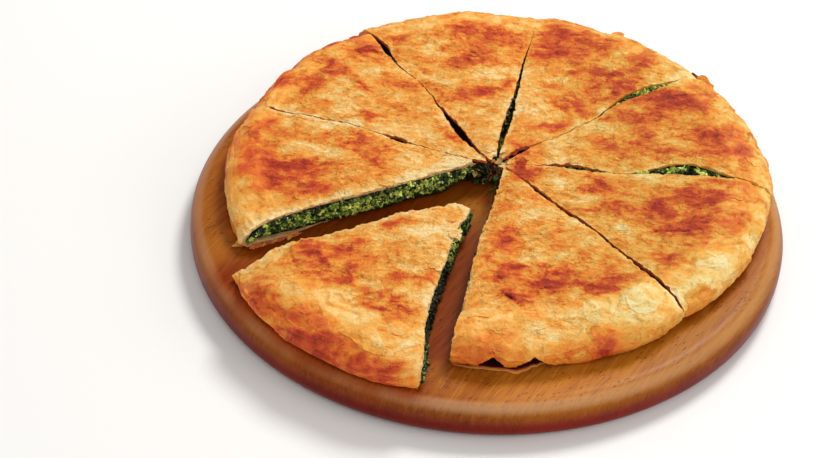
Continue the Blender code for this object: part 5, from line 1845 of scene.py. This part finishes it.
        # the gape beside slice 6 is full of filling up to the crust
        n = 620
        r = rng.normal(97, 12, n).clip(72, 121)
        gap = cut_gap("e", r)
        across = rng.uniform(-0.60, 0.54, n) * gap
        az = math.radians(CUTS["e"][0]) + (cut_offset("e", r) + across) / r
        z = PIE_H - 0.4 - rng.uniform(0.0, 3.0, n) - 1.2 * np.abs(across / gap)
        clump = 1.3 * noise(r / 5.0, across / 4.0, 0.5, 88)
        scatter(b, rng, np.stack([PIE_X + r * np.cos(az), PIE_Y + r * np.sin(az), BOARD_T + z], -1),
                rng.uniform(1.2, 2.6, n), bright=0.20 - 0.28 * smooth(88, 106, r), floor=BOARD_T + 0.1,
                clump=clump, shade=np.clip(1.40 + 1.7 * clump - 0.45 * smooth(92, 108, r), 0.15, 2.2))
        n = 150
        r = rng.normal(42, 8, n).clip(26, 56)
        gap = cut_gap("e", r)
        across = rng.uniform(-0.45, 0.45, n) * gap
        az = math.radians(CUTS["e"][0]) + (cut_offset("e", r) + across) / r
        z = PIE_H - 1.3 - rng.uniform(0.0, 3.0, n)
        scatter(b, rng, np.stack([PIE_X + r * np.cos(az), PIE_Y + r * np.sin(az), BOARD_T + z], -1),
                rng.uniform(1.0, 1.9, n), bright=-0.1, cheese=0.03, floor=BOARD_T + 0.1, shade=rng.uniform(0.1, 0.8, n))
    if piece == "slice_4":
        n = 420
        r = rng.normal(99, 12, n).clip(76, 122)
        gap = cut_gap("d", r)
        across = rng.uniform(-0.46, 0.46, n) * gap
        az = math.radians(CUTS["d"][0]) + (cut_offset("d", r) + across) / r
        z = PIE_H - 1.2 - rng.uniform(0.0, 3.0, n)
        clump = 1.2 * noise(r / 5.0, across / 4.0, 7.5, 88)
        scatter(b, rng, np.stack([PIE_X + r * np.cos(az), PIE_Y + r * np.sin(az), BOARD_T + z], -1),
                rng.uniform(1.1, 2.2, n), bright=0.0, floor=BOARD_T + 0.1,
                clump=clump, shade=np.clip(1.0 + 1.6 * clump, 0.12, 1.9))
    if piece == "slice_3":
        # dark scraps that lie over the middle of the pie, painted dark as the shade there
        n = 90
        q = np.stack([PIE_X + rng.uniform(-11.0, 3.5, n), PIE_Y + rng.uniform(-2.6, 0.8, n), BOARD_T + rng.uniform(0.8, 12.5, n)], -1)
        scatter(b, rng, q, rng.uniform(1.2, 2.8, n), bright=-0.1, cheese=0.03, floor=BOARD_T + 0.1, shade=rng.uniform(0.12, 0.65, n))
    if piece == "slice_4":
        plate(b, piece, (-0.4, -2.2, 6.4), (0.2, -0.75, 0.6), (0.6, 0.0, 0.5), 2.0, 1.2, 0.3, 0.15, 61, tint=srgb(84, 128, 44))
    if piece == "slice_7":
        # strings of leaf that hang from the filling near the middle
        for i in range(11):
            r0 = rng.uniform(9.0, 21.0)
            x, y, z = 0.8 - 0.13 * r0 + rng.uniform(-0.5, 0.5), -r0, rng.uniform(8.5, 14.0)
            knots = [(x + 0.8, y, z)]
            for _ in range(5):
                x, y, z = x - rng.uniform(-0.6, 1.6), y + rng.normal(-0.3, 1.8), z - rng.uniform(0.6, 3.0)
                knots.append((x, y, max(z, 0.4)))
            tint = np.array(srgb(*((30, 44, 16), (72, 92, 34), (112, 126, 52))[int(rng.integers(3))]))
            thread(b, piece, knots, rng.uniform(0.10, 0.17), tint=tint)
    obj = make_object(piece + "_stuffing", *b.arrays(), FILLING, sharp=70)
    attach(obj, "root")
    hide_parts(piece + "_filling")
    return obj


make_board()
for piece in SLICES:
    make_crust(piece)
    make_filling(piece)


# ============================================================================
# Floor, light and camera
# ============================================================================
def plain(name, colour, rough):
    n = Nodes(name)
    n.shader.inputs["Base Color"].default_value = (*colour, 1.0)
    n.shader.inputs["Roughness"].default_value = rough
    n.shader.inputs["Specular IOR Level"].default_value = 0.1
    return n.material


floor_mesh = bpy.data.meshes.new("floor")
S = 6.0
floor_mesh.from_pydata([(-S, -S, -0.0005), (S, -S, -0.0005), (S, S, -0.0005), (-S, S, -0.0005)], [], [(0, 1, 2, 3)])
floor_mesh.materials.append(plain("floor_paper", (0.93, 0.93, 0.925), 0.9))
floor = bpy.data.objects.new("floor", floor_mesh)
bpy.context.scene.collection.objects.link(floor)


def area_light(name, place_at, aim, size, power, colour):
    data = bpy.data.lights.new(name, "AREA")
    data.shape = "DISK"
    data.size = size
    data.energy = power
    data.color = colour
    obj = bpy.data.objects.new(name, data)
    bpy.context.scene.collection.objects.link(obj)
    obj.location = place_at
    obj.rotation_mode = "QUATERNION"
    obj.rotation_quaternion = (Vector(aim) - Vector(place_at)).to_track_quat("-Z", "Y")
    return obj


def studio_light(name, azimuth, elevation, away, size, level, colour):
    """level is the light's share on a surface that faces it, 1 for a white that is just white."""
    a, e = math.radians(azimuth), math.radians(elevation)
    at = (away * math.cos(e) * math.cos(a), away * math.cos(e) * math.sin(a), away * math.sin(e))
    area_light(name, at, (0, 0, 0.02), size, level * math.pi**2 * away**2, colour)


studio_light("key", 60, 54, 1.8, 0.62, 0.66, (1.0, 0.98, 0.94))
studio_light("right_fill", -22, 26, 1.8, 1.1, 0.195, (1.0, 0.98, 0.96))
studio_light("front_fill", -86, 46, 2.0, 1.2, 0.22, (1.0, 0.98, 0.96))
studio_light("left_fill", 166, 22, 2.0, 0.9, 0.05, (1.0, 0.96, 0.90))
world = bpy.data.worlds.new("studio")
world.use_nodes = True
world.node_tree.nodes["Background"].inputs["Color"].default_value = (1.0, 0.985, 0.96, 1.0)
world.node_tree.nodes["Background"].inputs["Strength"].default_value = 0.40
bpy.context.scene.world = world
bpy.context.scene.view_settings.view_transform = "Standard"
bpy.context.scene.view_settings.look = "None"

# The camera stands 1.07 m off, 39 degrees up, and leans a little.
FOCAL, DISTANCE, ELEVATION, ROLL, AIM_U, AIM_V = 2073.7, 1.0668, 39.26, -3.34, 487.1, 200.7


def camera_pose():
    e, roll = math.radians(ELEVATION), math.radians(ROLL)
    ce, se = math.cos(e), math.sin(e)
    at = np.array([0, -DISTANCE * ce, DISTANCE * se + 0.02])
    forward = np.array([0, ce, -se])
    right = np.array([1.0, 0, 0])
    up = np.cross(right, forward)
    base = np.stack([right, up, -forward])
    cr, sr = math.cos(roll), math.sin(roll)
    rolled = np.array([[cr, -sr, 0], [sr, cr, 0], [0, 0, 1]])
    t = np.array([(AIM_U - WIDTH / 2) / FOCAL, -(AIM_V - HEIGHT / 2) / FOCAL, -1.0])
    t /= np.linalg.norm(t)
    s = np.array([0, 0, -1.0])
    v, c = np.cross(s, t), s @ t
    k = np.array([[0, -v[2], v[1]], [v[2], 0, -v[0]], [-v[1], v[0], 0]])
    aim = np.eye(3) + k + k @ k / (1 + c)
    return aim @ rolled @ base, at


rows, at = camera_pose()
camera_data = bpy.data.cameras.new("camera")
camera_data.sensor_width = 36.0
camera_data.lens = 36.0 * FOCAL / WIDTH
camera_data.clip_start, camera_data.clip_end = 0.05, 30.0
camera = bpy.data.objects.new("camera", camera_data)
bpy.context.scene.collection.objects.link(camera)
m = Matrix.Identity(4)
for i in range(3):
    for j in range(3):
        m[i][j] = float(rows[j][i])
    m[i][3] = float(at[i])
camera.matrix_world = m
bpy.context.scene.camera = camera

bpy.context.view_layer.update()
